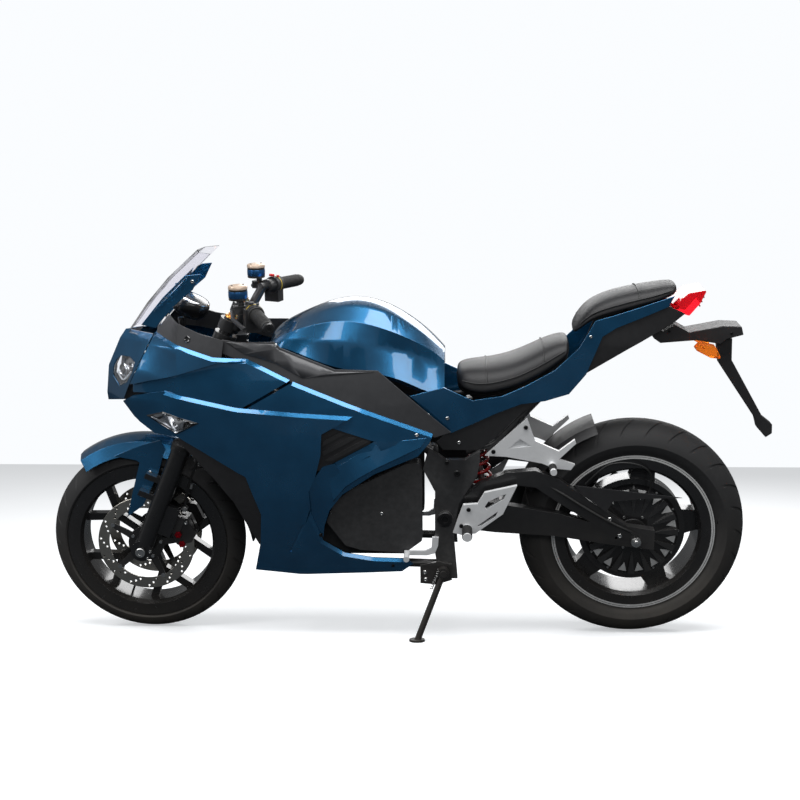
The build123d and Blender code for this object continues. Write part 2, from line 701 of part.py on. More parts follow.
subframe = subframe + lamp_seat
parts["rear_subframe"] = subframe - frame

# Battery and controller as plain blocks in the cradle
battery_half = 98
battery_base = cross_low_z + cradle_r + clearance
battery = slab([(cross_low_x - 12, battery_base), (60, battery_base), (60, 610), (-40, 650), (cross_low_x, 650)],
               -battery_half, battery_half, 10)
parts["battery_case"] = battery

# Swing arm
arm_in, arm_out = 96, 126
arm_outer = [(150, 425), (205, 440), (262, 490), (337, 523), (417, 530), (485, 502), (560, 448), (676, 367),
             (752, 355), (752, 297), (622, 313), (473, 337), (305, 347), (180, 362), (148, 372)]
arm_window = [(276, 440), (338, 428), (479, 404), (572, 378), (479, 438), (418, 480), (340, 490)]
arm = slab(arm_outer, arm_in, arm_out) - slab(arm_window, arm_in - 1, arm_out + 1)
arm = arm - rod(rear_axle_x, rear_axle_z, arm_in - 1, arm_out + 1, rear_axle_r + clearance)
cross_arm = rod(315, 388, -arm_in - 2, arm_in + 2, 28)
ear = slab([(262, 412), (270, 432), (288, 432), (322, 405), (310, 380), (284, 384)], 14 + clearance, 24)
pivot_tube = rod(pivot_x, pivot_z, -arm_out, arm_out, 24)
spool_x, spool_z = 646, 332
spool_hole_r = 4
spool_hole_deep = 24
arm = arm - rod(spool_x, spool_z, arm_out - spool_hole_deep, arm_out + 1, spool_hole_r)
swing_arm = cross_arm
for piece in (arm, ear):
    for solid in both_sides(piece):
        swing_arm = swing_arm + solid
swing_arm = swing_arm + pivot_tube
parts["swing_arm"] = swing_arm - rod(pivot_x, pivot_z, -200, 200, 8 + clearance)
swing_arm_pivot = fused([
    rod(pivot_x, pivot_z, -plate_in - plate_t - 1, plate_in + plate_t + 1, 8),
    rod(pivot_x, pivot_z, -plate_in - plate_t - 8, -plate_in - plate_t - clearance, 22),
    rod(pivot_x, pivot_z, plate_in + plate_t + clearance, plate_in + plate_t + 8, 22)])

collar_r = 14
rear_axle = fused([
    rod(rear_axle_x, rear_axle_z, -arm_out - 14, arm_out + 14, rear_axle_r),
    rod(rear_axle_x, rear_axle_z, -arm_in + clearance, -motor_half - 0.5, collar_r),
    rod(rear_axle_x, rear_axle_z, motor_half + 0.5, arm_in - clearance, collar_r),
    rod(rear_axle_x, rear_axle_z, -arm_out - 12, -arm_out - clearance, 14),
    rod(rear_axle_x, rear_axle_z, arm_out + clearance, arm_out + 12, 14)])
parts["rear_axles"] = [swing_arm_pivot, rear_axle]

# Swing arm guard, a plain blade along the arm's outside
guard = [(525, 488), (793, 457), (823, 453), (713, 450), (633, 442), (614, 410), (580, 438), (545, 462)]
swing_arm_guards = both_sides(slab(guard, arm_out + clearance, arm_out + 4))

# Shock absorber
shock_top = (shock_top_x, 0, shock_top_z)
shock_low = (278, 0, 418)
eye_r = 14
shock_dir = (Vector(*shock_top) - Vector(*shock_low)).normalized()
cup_from, cup_t = 28, 8
hat_from = 232
shock_rod = pin(shock_low, shock_top, 9)
shock_body = pin(along(shock_low, shock_top, 120), along(shock_low, shock_top, 250), 21)
shock_cup = pin(along(shock_low, shock_top, cup_from), along(shock_low, shock_top, cup_from + cup_t), 33)
shock_hat = pin(along(shock_low, shock_top, hat_from), along(shock_low, shock_top, hat_from + cup_t), 33)
eyes = [rod(shock_low[0], shock_low[2], -eye_r, eye_r, eye_r), rod(shock_top_x, shock_top_z, -eye_r, eye_r, eye_r)]
shock = fused([shock_rod, shock_body, shock_cup, shock_hat] + eyes)
parts["rear_shock"] = shock - rod(shock_top_x, shock_top_z, -40, 40, 6 + clearance)
coil_count = 8
coil_pitch = (hat_from - cup_from - cup_t - 2 * clearance) / coil_count
spring_points = [(22.3, 0)]
for i in range(coil_count):
    spring_points += [(25, coil_pitch * i), (32, coil_pitch * (i + 0.35)), (32, coil_pitch * (i + 0.6))]
spring_points += [(25, coil_pitch * coil_count), (22.3, coil_pitch * coil_count)]
spring_face = Plane.XZ * make_face(Polyline(*spring_points, close=True))
spring = revolve(spring_face, axis=Axis.Z)
spring_plane = Plane(origin=along(shock_low, shock_top, cup_from + cup_t + clearance), z_dir=shock_dir)
parts["shock_spring"] = spring_plane.location * spring

# Fairing panels, outermost first; each tucks a few millimetres behind the panel outside it.
# The named edges turn in and are bevelled; they run with the panel on their right.
upper_edge = [(67, 911), (101, 901), (240, 862), (333, 861)]
upper_outline = [(-11, 766)] + upper_edge + [(255, 849), (119, 805)]
middle_edge = [(-2, 772), (119, 813), (254, 856), (335, 857), (449, 802)]
middle_outline = [(-2, 745)] + middle_edge + [(303, 719), (190, 738), (97, 754)]
flank_edge = [(457, 798), (600, 738), (834, 646)]
flank_fold = [(566, 570), (678, 631)]
flank_outline = flank_edge + [(824, 622), (793, 585), (672, 536), (584, 477), (547, 428), (531, 379), (527, 345),
                              (478, 420), (484, 489), (532, 560)]
flank_outline += flank_fold + [(559, 672), (524, 682), (470, 690), (315, 717)]
lower_edge = [(97, 762), (190, 747), (307, 728), (617, 703)]
lower_rim = [(497, 420), (527, 335), (585, 294), (669, 277), (762, 271)]
lower_outline = [(-38, 712), (0, 738)] + lower_edge + [(533, 657), (529, 596), (512, 532), (493, 489)]
lower_outline += lower_rim + [(777, 257), (745, 232), (618, 229), (456, 225), (329, 236), (350, 329), (357, 416),
                              (320, 531), (253, 569), (190, 605), (134, 636), (61, 637), (17, 664)]
lower_crease = [(512, 470), (455, 350), (432, 300)]
trim_outline = [(255, 874), (264, 907), (313, 901), (408, 901), (423, 886), (571, 827), (685, 822),
                (884, 646), (839, 634), (596, 730), (460, 790), (370, 836), (327, 848)]
fold_w = 32
flank = bevelled_panel(flank_outline, middle_inset, [(flank_edge, bevel_w), (flank_fold, fold_w)])
groove = stack([[(x - 6, y + 1, z + 3), (x, y - panel_t * 0.7, z), (x + 6, y + 1, z - 3)]
                for x, y, z in [(x, half_width(x, z) - outer_inset, z) for x, z in from_axle(lower_crease)]])
lower = bevelled_panel(lower_outline, outer_inset, [(lower_edge, bevel_w), (lower_rim, bevel_w)], 60) - groove
parts["upper_fairings"] = (both_sides(bevelled_panel(upper_outline, outer_inset, [(upper_edge, bevel_w)]))
                           + both_sides(bevelled_panel(middle_outline, middle_inset, [(middle_edge, bevel_w)]))
                           + both_sides(flank))
parts["lower_fairings"] = both_sides(lower)
parts["tank_side_trims"] = both_sides(panel(trim_outline, deep_inset))

# Side vents: a base behind the opening, with louvres that run along the opening's lower edge
vent_outline = [(522, 666), (559, 684), (668, 644), (664, 626), (565, 572), (524, 548), (504, 545), (510, 600)]
vent_opening = [(536, 652), (560, 664), (664, 630), (568, 577), (541, 577), (533, 600)]
louvre_count = 3
louvre_w = 12
louvre_pitch = 25
vent_angle = atan2(flank_fold[1][1] - flank_fold[0][1], flank_fold[1][0] - flank_fold[0][0])
across = (-sin(vent_angle), cos(vent_angle))
run = (cos(vent_angle), sin(vent_angle))
vent = panel(vent_outline, vent_inset)
louvre_layer = fairing_layer(middle_inset + 1, vent_inset + panel_t / 2 - middle_inset - 1)
for i in range(louvre_count):
    rise = 9 + louvre_pitch * i
    x, z = flank_fold[0][0] + across[0] * rise, flank_fold[0][1] + across[1] * rise
    ends = [(x - run[0] * 60, z - run[1] * 60), (x + run[0] * 140, z + run[1] * 140)]
    blade = ends + shifted(ends, -louvre_w)[::-1]
    vent = vent + (louvre_layer & side_slab(blade) & side_slab(vent_opening))
parts["fairing_vents"] = both_sides(vent)

# Black liner behind the front wheel: a curved plate with side wings under the lower fairings
liner_wing = [(135, 621), (228, 519), (281, 451), (346, 319), (374, 330), (384, 420), (340, 545),
              (270, 585), (200, 622), (144, 650)]
liner_r = 330
liner_plate = arc_band(front_axle_x, front_axle_z, liner_r, liner_r + panel_t, 41, 82, -1, 250)
liner_half = panel(liner_wing, liner_inset, 30) + (liner_plate & fairing_solid(liner_inset + 1))
parts["fairing_liner"] = liner_half + mirror(liner_half, about=Plane.XZ)

# Nose: the front of the same form, between the upper fairings
nose_outline = [(-120, 690), (-37, 716), (-14, 764), (59, 904.7), (-120, 904.7)]
nose_half = fairing_layer(0, nose_t) & side_slab(nose_outline, -1)
nose = nose_half + mirror(nose_half, about=Plane.XZ)
lamp_outline = [(-74, 774), (-51, 749), (-22, 768), (-2, 800), (4, 826), (-14, 836), (-45, 833), (-71, 813)]
lamp_cut = side_slab(lamp_outline, 16)
lamp_cut = lamp_cut + mirror(lamp_cut, about=Plane.XZ)
parts["nose_cowl"] = nose - lamp_cut
lens_half = fairing_layer(2, panel_t) & side_slab(lamp_outline, 16 + clearance)
parts["front_lamps"] = both_sides(lens_half)

# Windscreen: levels of its curved section from the nose up and back
screen_rows = (
    # z, front x from the front axle, half-width, how far the side trails
    (905, -22, 78, 42),
    (980, 32, 104, 52),
    (1050, 94, 106, 60),
    (1128, 180, 84, 62),
)


def screen_solid(inset):
    rows = []
    for z, front, w, trail in screen_rows:
        x = front_axle_x + front
        rows.append([(x + inset, 0, z), (x + trail * 0.2 + inset, (w - inset) * 0.6, z),
                     (x + trail + inset, w - inset, z), (x + trail + 60, w - inset, z), (x + trail + 60, 0, z)])
    return stack(rows)


screen_half = screen_solid(0) - screen_solid(screen_t)
screen_side = [(-60, 905), (160, 1150), (230, 1128), (140, 1040), (60, 962), (18, 905)]
screen_half = screen_half & side_slab(screen_side, -1)
parts["windscreen"] = screen_half + mirror(screen_half, about=Plane.XZ)

# Cockpit: side infills and the instrument cluster
cluster_half = 56
cluster = slab(from_axle([(103, 1000), (130, 1024), (178, 1019), (214, 980), (178, cluster_base),
                          (108, cluster_base)]), -cluster_half, cluster_half, 8)
cockpit_outline = [(70, 902), (101, 893), (240, 854), (264, 862), (270, 906), (200, 922), (140, 945),
                   (108, 958), (70, 948)]
parts["cockpit"] = [cluster] + both_sides(panel(cockpit_outline, middle_inset))

# Tank: sections of half-widths, a closed cover
# Columns: x, top z, crown half-width, crease z and half-width, recess z and half-width, low z and half-width,
# floor z of the saddle that straddles the frame
tank_rows = (
    (-318, 885, 30, 880, 70, 874, 84, 866, 96, 846),
    (-292, 913, 45, 902, 96, 893, 110, 880, 122, 846),
    (-200, 960, 60, 938, 118, 905, 134, 856, 148, 824),
    (-95, 987, 62, 952, 124, 895, 140, 823, 148, tank_floor),
    (0, 970, 60, 930, 116, 880, 122, 806, 142, tank_floor),
    (95, 914, 56, 886, 100, 850, 100, 768, 132, 790),
    (165, 848, 40, 832, 84, 805, 92, 765, 118, 780),
)
tank_lip = 14
saddle_half = 72
crown_rise = 4


def tank_section(x, zt, wt, zc, wc, zr, wr, zl, wl, zf):
    """One closed section of the tank: an arched crown, creased sides and a saddle below."""
    right = [(x, wt, zt - 3), (x, wc, zc), (x, wr, zr), (x, wl, zl), (x, wl - tank_lip, zl - tank_lip),
             (x, saddle_half, zf - 1.5)]
    left = [(px, -py, pz) for px, py, pz in reversed(right)]
    crown = ThreePointArc(left[-1], (x, 0, zt + crown_rise), right[0])
    return make_face([crown, Polyline(*right, *left)])


tank = loft([tank_section(*row) for row in tank_rows])
saddle_cut = Pos(-50, 0, tank_floor - 30) * Box(200, 2 * saddle_half - 1, 60)
parts["tank_cover"] = tank - saddle_cut

# Tail cowl
tail_outline = [(70, 747), (163, 772), (242, 735), (321, 745), (387, 773), (464, 814), (528, 874), (553, 915),
                (571, 948), (629, 964), (786, 1011), (769, 981), (630, 928), (592, 905), (550, 800), (505, 746),
                (440, 728), (374, 721), (309, 697), (182, 640)]
under_outline = [(546, 800), (588, 911), (628, 935), (766, 985), (818, 960), (781, 933), (667, 870)]
cover_outline = [(143, 613), (176, 646), (308, 706), (440, 737), (374, 693), (300, 620), (230, 568), (176, 570)]
tray_inset = panel_t + clearance
tail_skin = tail_solid(0) - tail_solid(panel_t)
tail_inner = tail_solid(tray_inset) - tail_solid(tray_inset + panel_t)
parts["tail_cowls"] = both_sides(tail_skin & slab(tail_outline, 10, 220))
parts["tail_undertrays"] = (both_sides(tail_inner & slab(under_outline, 10, 220))
                            + both_sides(tail_inner & slab(cover_outline, 10, 220)))

tail_lamp = [(875, 1023), (826, 1014), (806, 996), (784, 966), (830, 952), (858, 986)]
tail_light = slab(tail_lamp, -56, 56, 4)

# Seats
def seat(rows_, lip, base):
    rows = []
    for x, zt, ze, w in rows_:
        right = [(x, 0, zt), (x, w * 0.6, zt - 3), (x, w * 0.93, (zt + ze) / 2 + 4), (x, w, ze), (x, w - lip, ze - 3),
                 (x, w - lip, ze - base)]
        left = [(px, -py, pz) for px, py, pz in reversed(right[1:])]
        rows.append(right + left)
    return stack(rows)


parts["rider_seat"] = seat(rider_rows, 24, rider_base)
parts["pillion_seat"] = seat(pillion_rows, 20, pillion_base)

# Plate carrier, its arm and the rear turn lamps
carrier_top = carrier_bar_z - 9 - clearance
carrier = [(738, 886), (738, carrier_top), (766, carrier_top), (797, 923), (834, 902), (927, 920), (977, 918), (983, 895), (938, 883), (922, 869),
           (857, 880), (758, 872)]
carrier_solid = slab(carrier, -40, 40)
arm_solid = slab([(915, 880), (958, 880), (960, 818), (1054, 655), (1083, 632), (1084, 606), (1067, 594),
                  (1042, 622), (1034, 650), (925, 810)], -16, 16)
parts["plate_carrier"] = fused([carrier_solid, arm_solid])
lamp = slab([(842, 868), (857, 884), (898, 875), (914, 843), (884, 846)], 66, 104, 4)
lamp_stem = pin((868, 40 + clearance, 872), (868, 70, 872), 7)
parts["rear_lamps"] = [tail_light] + both_sides(lamp + lamp_stem)

# Rear hugger over the front of the rear tyre
hugger = hoop(rear_axle_x, rear_axle_z, rear_tyre_r + 24, 84, 26, panel_t, -66, -20)
hugger_tab = rod(412, 500, 58, arm_in - clearance, 7)
hugger = hugger + hugger_tab + mirror(hugger_tab, about=Plane.XZ)
parts["rear_guards"] = swing_arm_guards + [hugger]

# Rear caliper on the right arm
rear_caliper = Rot(0, -124, 0) * caliper_body(92, rear_disc_r, 60, 70, 31, rear_disc_y, 0)
rear_caliper = Pos(rear_axle_x, 0, rear_axle_z) * rear_caliper
bracket_outline = [(-45, 49), (-10, 117), (-40, 133), (-85, 77)]
caliper_bracket = slab([(rear_axle_x + x, rear_axle_z + z) for x, z in bracket_outline], 89, arm_in - clearance)
parts["rear_caliper"] = fused([rear_caliper, caliper_bracket])

# Battery side covers between the fairing and the casting
cover = [(-165, 385), (-140, 443), (-97, 479), (-26, 514), (57, 554), (98, 558), (103, 515), (103, 330),
         (55, 293), (-71, 301), (-113, 314)]
parts["battery_side_covers"] = both_sides(slab(cover, battery_half + clearance, 150, 10))

# Footpeg brackets, pegs and pedals
peg_bracket = [(200, 393), (217, 441), (257, 444), (276, 477), (365, 498), (327, 415), (251, 357), (212, 353),
               (189, 359)]
peg_hole_a = [(274, 432), (287, 453), (335, 474), (329, 459), (282, 429)]
peg_hole_b = [(254, 378), (313, 423), (307, 408), (268, 381)]
bracket_y = plate_in + plate_t + clearance
bracket = slab(peg_bracket, bracket_y, bracket_y + 14) - slab(peg_hole_a, 0, 300) - slab(peg_hole_b, 0, 300)
rider_brackets = both_sides(bracket)
pass_bracket = [(277, 573), (392, 680), (414, 616), (455, 597), (480, 586), (523, 620), (527, 609), (481, 563),
                (525, 548), (514, 532), (470, 536), (434, 551), (335, 570)]
bracket_out = bracket_in + 12
passenger_brackets = both_sides(slab(pass_bracket, bracket_in, bracket_out))
peg = rod(228, 372, bracket_y + 14 + clearance, bracket_y + 84, 12)
pass_peg = rod(462, 548, bracket_out + clearance, 196, 9)
lever_y = bracket_y + 4
lever_outline = [(131, 344), (149, 344), (147, 318), (138, 296), (116, 290), (53, 290), (53, 302), (112, 303), (129, 312)]
foot_lever = fused([slab(lever_outline, lever_y, lever_y + 8), rod(60, 296, lever_y + 4, lever_y + 54, 8),
                    rod(140, 336, bracket_y, lever_y + 2, 8)])
parts["foot_rests"] = both_sides(foot_lever) + rider_brackets + passenger_brackets + both_sides(peg) + both_sides(pass_peg)

# Side stand and its bracket
stand_x, stand_z = 162, 240
foot_x, foot_y = 88, -200
bracket_t = 8
stand_plate_y = plate_in + plate_t + clearance
boss_half = 9
boss_gap = 0.5
stand_y = stand_plate_y + bracket_t + boss_gap + boss_half

# The floor is the plane z*cos(lean) + y*sin(lean) = 0, so on the left side it stands above Z=0.
foot_floor = -foot_y * tan(radians(lean))
bracket_plate = slab([(97, 258), (97, 204), (143, 200), (186, 214), (186, 262), (150, 270)],
                     -stand_plate_y - bracket_t, -stand_plate_y)
stand_pin = rod(stand_x, stand_z, -stand_y - boss_half - 5, -stand_plate_y - 1, 7)
pin_head = rod(stand_x, stand_z, -stand_y - boss_half - 5, -stand_y - boss_half - boss_gap, 10)
parts["stand_bracket"] = fused([bracket_plate, stand_pin, pin_head])
stand_top = (stand_x, -stand_y, stand_z)
stand_foot = (foot_x, foot_y, foot_floor)
boss = rod(stand_x, stand_z, -stand_y - boss_half, -stand_y + boss_half, 17)
leg_end = along(stand_foot, stand_top, 4)
leg = pin(along(stand_top, stand_foot, 15), leg_end, 9)
pad_normal = Vector(0, sin(radians(lean)), cos(radians(lean)))
pad = extrude(Plane(origin=stand_foot, x_dir=(1, 0, 0), z_dir=pad_normal) * Circle(22), amount=6)
stand = fused([boss, leg, pad]) - rod(stand_x, stand_z, -stand_y - 40, -100, 7 + running_fit)
floor_cut = Plane(origin=stand_foot, x_dir=(1, 0, 0), z_dir=-pad_normal)
stand = stand - extrude(floor_cut * Rectangle(300, 300), amount=60)
parts["side_stand"] = stand


# Lean, then set the origin under the middle of the whole bike
def leant(shape):
    return shape.rotate(Axis((0, 0, 0), (1, 0, 0)), lean)


def solids_of(value):
    items = value if isinstance(value, (list, tuple)) else [value]
    return [solid for item in items for solid in item.solids()]


placed = {name: [leant(solid) for solid in solids_of(value)] for name, value in parts.items()}
boxes = [solid.bounding_box() for solids in placed.values() for solid in solids]
low = [min(tuple(box.min)[i] for box in boxes) for i in range(3)]
high = [max(tuple(box.max)[i] for box in boxes) for i in range(3)]
shift = (-(low[0] + high[0]) / 2, -(low[1] + high[1]) / 2, -low[2])
for name, solids in placed.items():
    moved = [Pos(*shift) * solid for solid in solids]
    export_step(moved[0] if len(moved) == 1 else Compound(moved), f"parts/{name}.step")
print("size", [round(h - l, 1) for l, h in zip(low, high)], "shift", [round(s, 2) for s in shift])
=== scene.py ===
import json
import math
import bmesh
import bpy
from mathutils import Matrix, Vector
from mathutils.bvhtree import BVHTree

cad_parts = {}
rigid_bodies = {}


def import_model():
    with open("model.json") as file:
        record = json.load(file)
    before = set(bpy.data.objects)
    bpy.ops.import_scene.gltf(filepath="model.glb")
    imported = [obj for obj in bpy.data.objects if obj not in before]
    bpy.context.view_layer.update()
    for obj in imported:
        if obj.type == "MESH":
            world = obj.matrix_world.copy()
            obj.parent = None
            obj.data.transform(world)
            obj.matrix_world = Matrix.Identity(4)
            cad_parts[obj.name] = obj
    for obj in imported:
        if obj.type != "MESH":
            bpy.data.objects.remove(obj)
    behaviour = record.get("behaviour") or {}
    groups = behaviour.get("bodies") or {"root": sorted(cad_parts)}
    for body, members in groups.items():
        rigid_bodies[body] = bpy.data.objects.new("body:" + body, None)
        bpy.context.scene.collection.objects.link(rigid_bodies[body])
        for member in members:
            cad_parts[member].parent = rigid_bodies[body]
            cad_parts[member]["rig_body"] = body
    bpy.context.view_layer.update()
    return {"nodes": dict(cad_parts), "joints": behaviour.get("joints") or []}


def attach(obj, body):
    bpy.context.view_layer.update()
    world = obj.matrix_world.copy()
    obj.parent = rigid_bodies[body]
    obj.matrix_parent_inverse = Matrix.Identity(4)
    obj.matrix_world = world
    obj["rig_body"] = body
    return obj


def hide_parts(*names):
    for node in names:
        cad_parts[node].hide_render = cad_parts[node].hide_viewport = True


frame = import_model()
cadNodes = frame["nodes"]
jointNamed = {j["name"]: j for j in frame["joints"]}

# The bike is modelled upright in millimetres: X to the rear, Y to the rider's right, Z up.
# bikeToRow leans it and sets it where the CAD has it.
stance = {"lean": 13, "rake": 23, "frontAxle": (-700, 0, 282.447), "rearAxle": (700, 0, 322.973)}
frontAxle = Vector(stance["frontAxle"])
rearAxle = Vector(stance["rearAxle"])
leanTurn = Matrix.Rotation(math.radians(stance["lean"]), 4, "X")
axleInRow = Vector(jointNamed["front_wheel_spin"]["pos_m"])
bikeToRow = Matrix.Translation(axleInRow - leanTurn @ (frontAxle / 1000)) @ leanTurn @ Matrix.Scale(0.001, 4)
rowToBike = bikeToRow.inverted()
forkToRow = bikeToRow @ Matrix.Translation(frontAxle) @ Matrix.Rotation(math.radians(stance["rake"]), 4, "Y")
frontWheelToRow = bikeToRow @ Matrix.Translation(frontAxle)
rearWheelToRow = bikeToRow @ Matrix.Translation(rearAxle)


def inBike(x, y, z):
    return bikeToRow @ Vector((x, y, z))


def addToScene(name, data):
    thing = bpy.data.objects.new(name, data)
    bpy.context.scene.collection.objects.link(thing)
    return thing


# Camera and softboxes
photoView = {"target": (36.6, -130.0, 677.8), "azimuth": 2.47, "elevation": 2.73, "distance": 3.8,
             "lens": 59.85, "sensor": 36}
softboxes = {
    # where it stands, what it faces, its size in metres and its power
    "topSoftbox": ((0.1, -0.9, 3.2), (0, 0, 0.5), (4.2, 2.0), 150),
    "frontSoftbox": ((-3.4, -1.6, 2.4), (-0.2, 0, 0.6), (1.6, 1.8), 36),
    "sideSoftbox": ((0.8, -4.8, 1.9), (0.1, 0, 0.6), (4.8, 0.7), 46),
    "rimSoftbox": ((0.6, 3.4, 2.6), (0, 0, 0.7), (3.2, 1.4), 60),
}


def aimThing(thing, at, direction):
    thing.location = at
    thing.rotation_mode = "QUATERNION"
    thing.rotation_quaternion = direction.to_track_quat("-Z", "Y")


def addCamera():
    target = bikeToRow.translation + Vector(photoView["target"]) / 1000
    a, e = math.radians(photoView["azimuth"]), math.radians(photoView["elevation"])
    back = Vector((math.sin(a) * math.cos(e), -math.cos(a) * math.cos(e), math.sin(e)))
    camera = addToScene("photoCamera", bpy.data.cameras.new("photoCamera"))
    aimThing(camera, target + back * photoView["distance"], -back)
    camera.data.lens = photoView["lens"]
    camera.data.sensor_width = photoView["sensor"]
    bpy.context.scene.camera = camera


def addSoftbox(name, at, facing, size, energy):
    light = bpy.data.lights.new(name, "AREA")
    light.shape = "RECTANGLE"
    light.size, light.size_y = size
    light.energy = energy
    aimThing(addToScene(name, light), at, Vector(facing) - Vector(at))


addCamera()
for boxName, boxValues in softboxes.items():
    addSoftbox(boxName, *boxValues)
bpy.context.scene.view_settings.view_transform = "Standard"
print("camera and lights are set")


# Shader nodes
def feed(tree, socket, value):
    # A socket takes a number, a colour, a place or another node's output
    if isinstance(value, bpy.types.NodeSocket):
        tree.links.new(value, socket)
    elif value is not None:
        socket.default_value = (*value, 1) if socket.type == "RGBA" else value


def fill(tree, node, values):
    for key, value in values.items():
        feed(tree, node.inputs[key], value)


def addNode(tree, kind, *inOrder, **values):
    # Settings and inputs by name, with _ for a space, and the first inputs in their order
    node = tree.nodes.new("ShaderNode" + kind)
    for key, value in values.items():
        if hasattr(node, key):
            setattr(node, key, value)
        else:
            feed(tree, node.inputs[key.replace("_", " ")], value)
    for socket, value in zip(node.inputs, inOrder):
        feed(tree, socket, value)
    return node


def mathNode(tree, operation, a, b=None, c=None):
    return addNode(tree, "Math", a, b, c, operation=operation).outputs[0]


def noiseFac(tree, vector, scale, detail=2.0, roughness=0.5):
    return addNode(tree, "TexNoise", Vector=vector, Scale=scale, Detail=detail,
                   Roughness=roughness).outputs["Fac"]


def setRange(tree, value, low, high):
    return addNode(tree, "MapRange", Value=value, To_Min=low, To_Max=high).outputs["Result"]


def smoothRange(tree, value, **limits):
    return addNode(tree, "MapRange", interpolation_type="SMOOTHSTEP", Value=value, **limits).outputs["Result"]


def objectPlace(tree):
    return addNode(tree, "TexCoord").outputs["Object"]


def mixColour(tree, factor, low, high):
    mix = addNode(tree, "Mix", factor, data_type="RGBA")
    feed(tree, mix.inputs[6], low)
    feed(tree, mix.inputs[7], high)
    return mix.outputs[2]


def reliefFrom(tree, height, strength, distance=0.0002):
    return addNode(tree, "Bump", Height=height, Strength=strength, Distance=distance).outputs["Normal"]


backdrop = {"colour": (0.96, 0.98, 1.0), "lit": 0.20, "seen": 1.0}


def addBackdrop():
    # Objects are lit by a dim room; the camera, also through clear parts, sees a white backdrop
    world = bpy.data.worlds.new("studio")
    bpy.context.scene.world = world
    world.use_nodes = True
    tree = world.node_tree
    path = addNode(tree, "LightPath").outputs
    seen = mathNode(tree, "MAXIMUM", path["Is Camera Ray"], path["Is Transmission Ray"])
    strength = addNode(tree, "Mix", seen, None, backdrop["lit"], backdrop["seen"])
    fill(tree, tree.nodes["Background"], {"Color": backdrop["colour"], "Strength": strength.outputs[0]})


addBackdrop()


# Shader groups
def newGroup(name, inputs, outputs):
    tree = bpy.data.node_groups.new(name, "ShaderNodeTree")
    for socketName, value in inputs.items():
        kind = "NodeSocketVector" if isinstance(value, tuple) else "NodeSocketFloat"
        tree.interface.new_socket(socketName, in_out="INPUT", socket_type=kind).default_value = value
    for socketName in outputs:
        tree.interface.new_socket(socketName, in_out="OUTPUT", socket_type="NodeSocketFloat")
    return tree, tree.nodes.new("NodeGroupInput").outputs, tree.nodes.new("NodeGroupOutput")


def makeGrain():
    # Moulded or painted skin: a fine noise over a wider one
    tree, given, out = newGroup("skinGrain", {"Scale": 900.0, "Ripple": 60.0}, ["Height", "Tone"])
    where = objectPlace(tree)
    fine = noiseFac(tree, where, given["Scale"], 3.0, 0.6)
    wide = noiseFac(tree, where, given["Ripple"])
    height = mathNode(tree, "MULTIPLY_ADD", fine, 0.65, mathNode(tree, "MULTIPLY", wide, 0.35))
    fill(tree, out, {"Height": height, "Tone": wide})
    return tree


def makeLeatherGrain():
    # Pebbled vinyl: small cells with soft creases between them, and a mask that darkens the creases as painted
    # shade
    tree, given, out = newGroup("vinylPebble", {"Scale": 620.0}, ["Height", "CreaseShade"])
    cells = addNode(tree, "TexVoronoi", feature="DISTANCE_TO_EDGE", Vector=objectPlace(tree),
                    Scale=given["Scale"])
    height = smoothRange(tree, cells.outputs["Distance"], From_Max=0.28)
    fill(tree, out, {"Height": height, "CreaseShade": mathNode(tree, "SUBTRACT", 1.0, height)})
    return tree


def makeRoadDust():
    # Thin dust that gathers near the ground and in patches
    tree, given, out = newGroup("roadDust", {"Top": 0.45, "Patch": 9.0}, ["Mask"])
    where = objectPlace(tree)
    up = addNode(tree, "SeparateXYZ", where).outputs["Z"]
    fade = smoothRange(tree, up, From_Max=given["Top"], To_Min=1.0, To_Max=0.0)
    patch = noiseFac(tree, where, given["Patch"], 5.0, 0.62)
    fill(tree, out, {"Mask": mathNode(tree, "MULTIPLY", fade, patch)})
    return tree


def makeTurnedRings():
    # Fine rings about a wheel's centre, from the distance to it
    tree, given, out = newGroup("turnedRings", {"Centre": (0.0, 0.0, 0.0), "Pitch": 1500.0}, ["Rings"])
    away = addNode(tree, "VectorMath", objectPlace(tree), given["Centre"], operation="SUBTRACT")
    length = addNode(tree, "VectorMath", away.outputs[0], operation="LENGTH")
    line = addNode(tree, "CombineXYZ", length.outputs["Value"])
    fill(tree, out, {"Rings": noiseFac(tree, line.outputs[0], given["Pitch"], 1.0)})
    return tree


def makeEdgeHighlightAndWear():
    # Sharp corners made lighter: a painted edge highlight, with some wear
    tree, given, out = newGroup("edgeHighlightAndWear", {"Amount": 0.5}, ["Mask"])
    pointed = addNode(tree, "NewGeometry").outputs["Pointiness"]
    sharp = smoothRange(tree, pointed, From_Min=0.52, From_Max=0.64)
    litAndWorn = mathNode(tree, "MULTIPLY", sharp, noiseFac(tree, objectPlace(tree), 70.0, 4.0, 0.6))
    fill(tree, out, {"Mask": mathNode(tree, "MULTIPLY", litAndWorn, given["Amount"])})
    return tree


skinGrain = makeGrain()
vinylPebble = makeLeatherGrain()
roadDust = makeRoadDust()
turnedRings = makeTurnedRings()
edgeHighlightAndWear = makeEdgeHighlightAndWear()


# Materials
def newMaterial(name):
    material = bpy.data.materials.new(name)
    material.use_nodes = True
    return material, material.node_tree, material.node_tree.nodes["Principled BSDF"]


surfaceLook = {"ripple": 60.0, "dust": (0.21, 0.18, 0.14)}


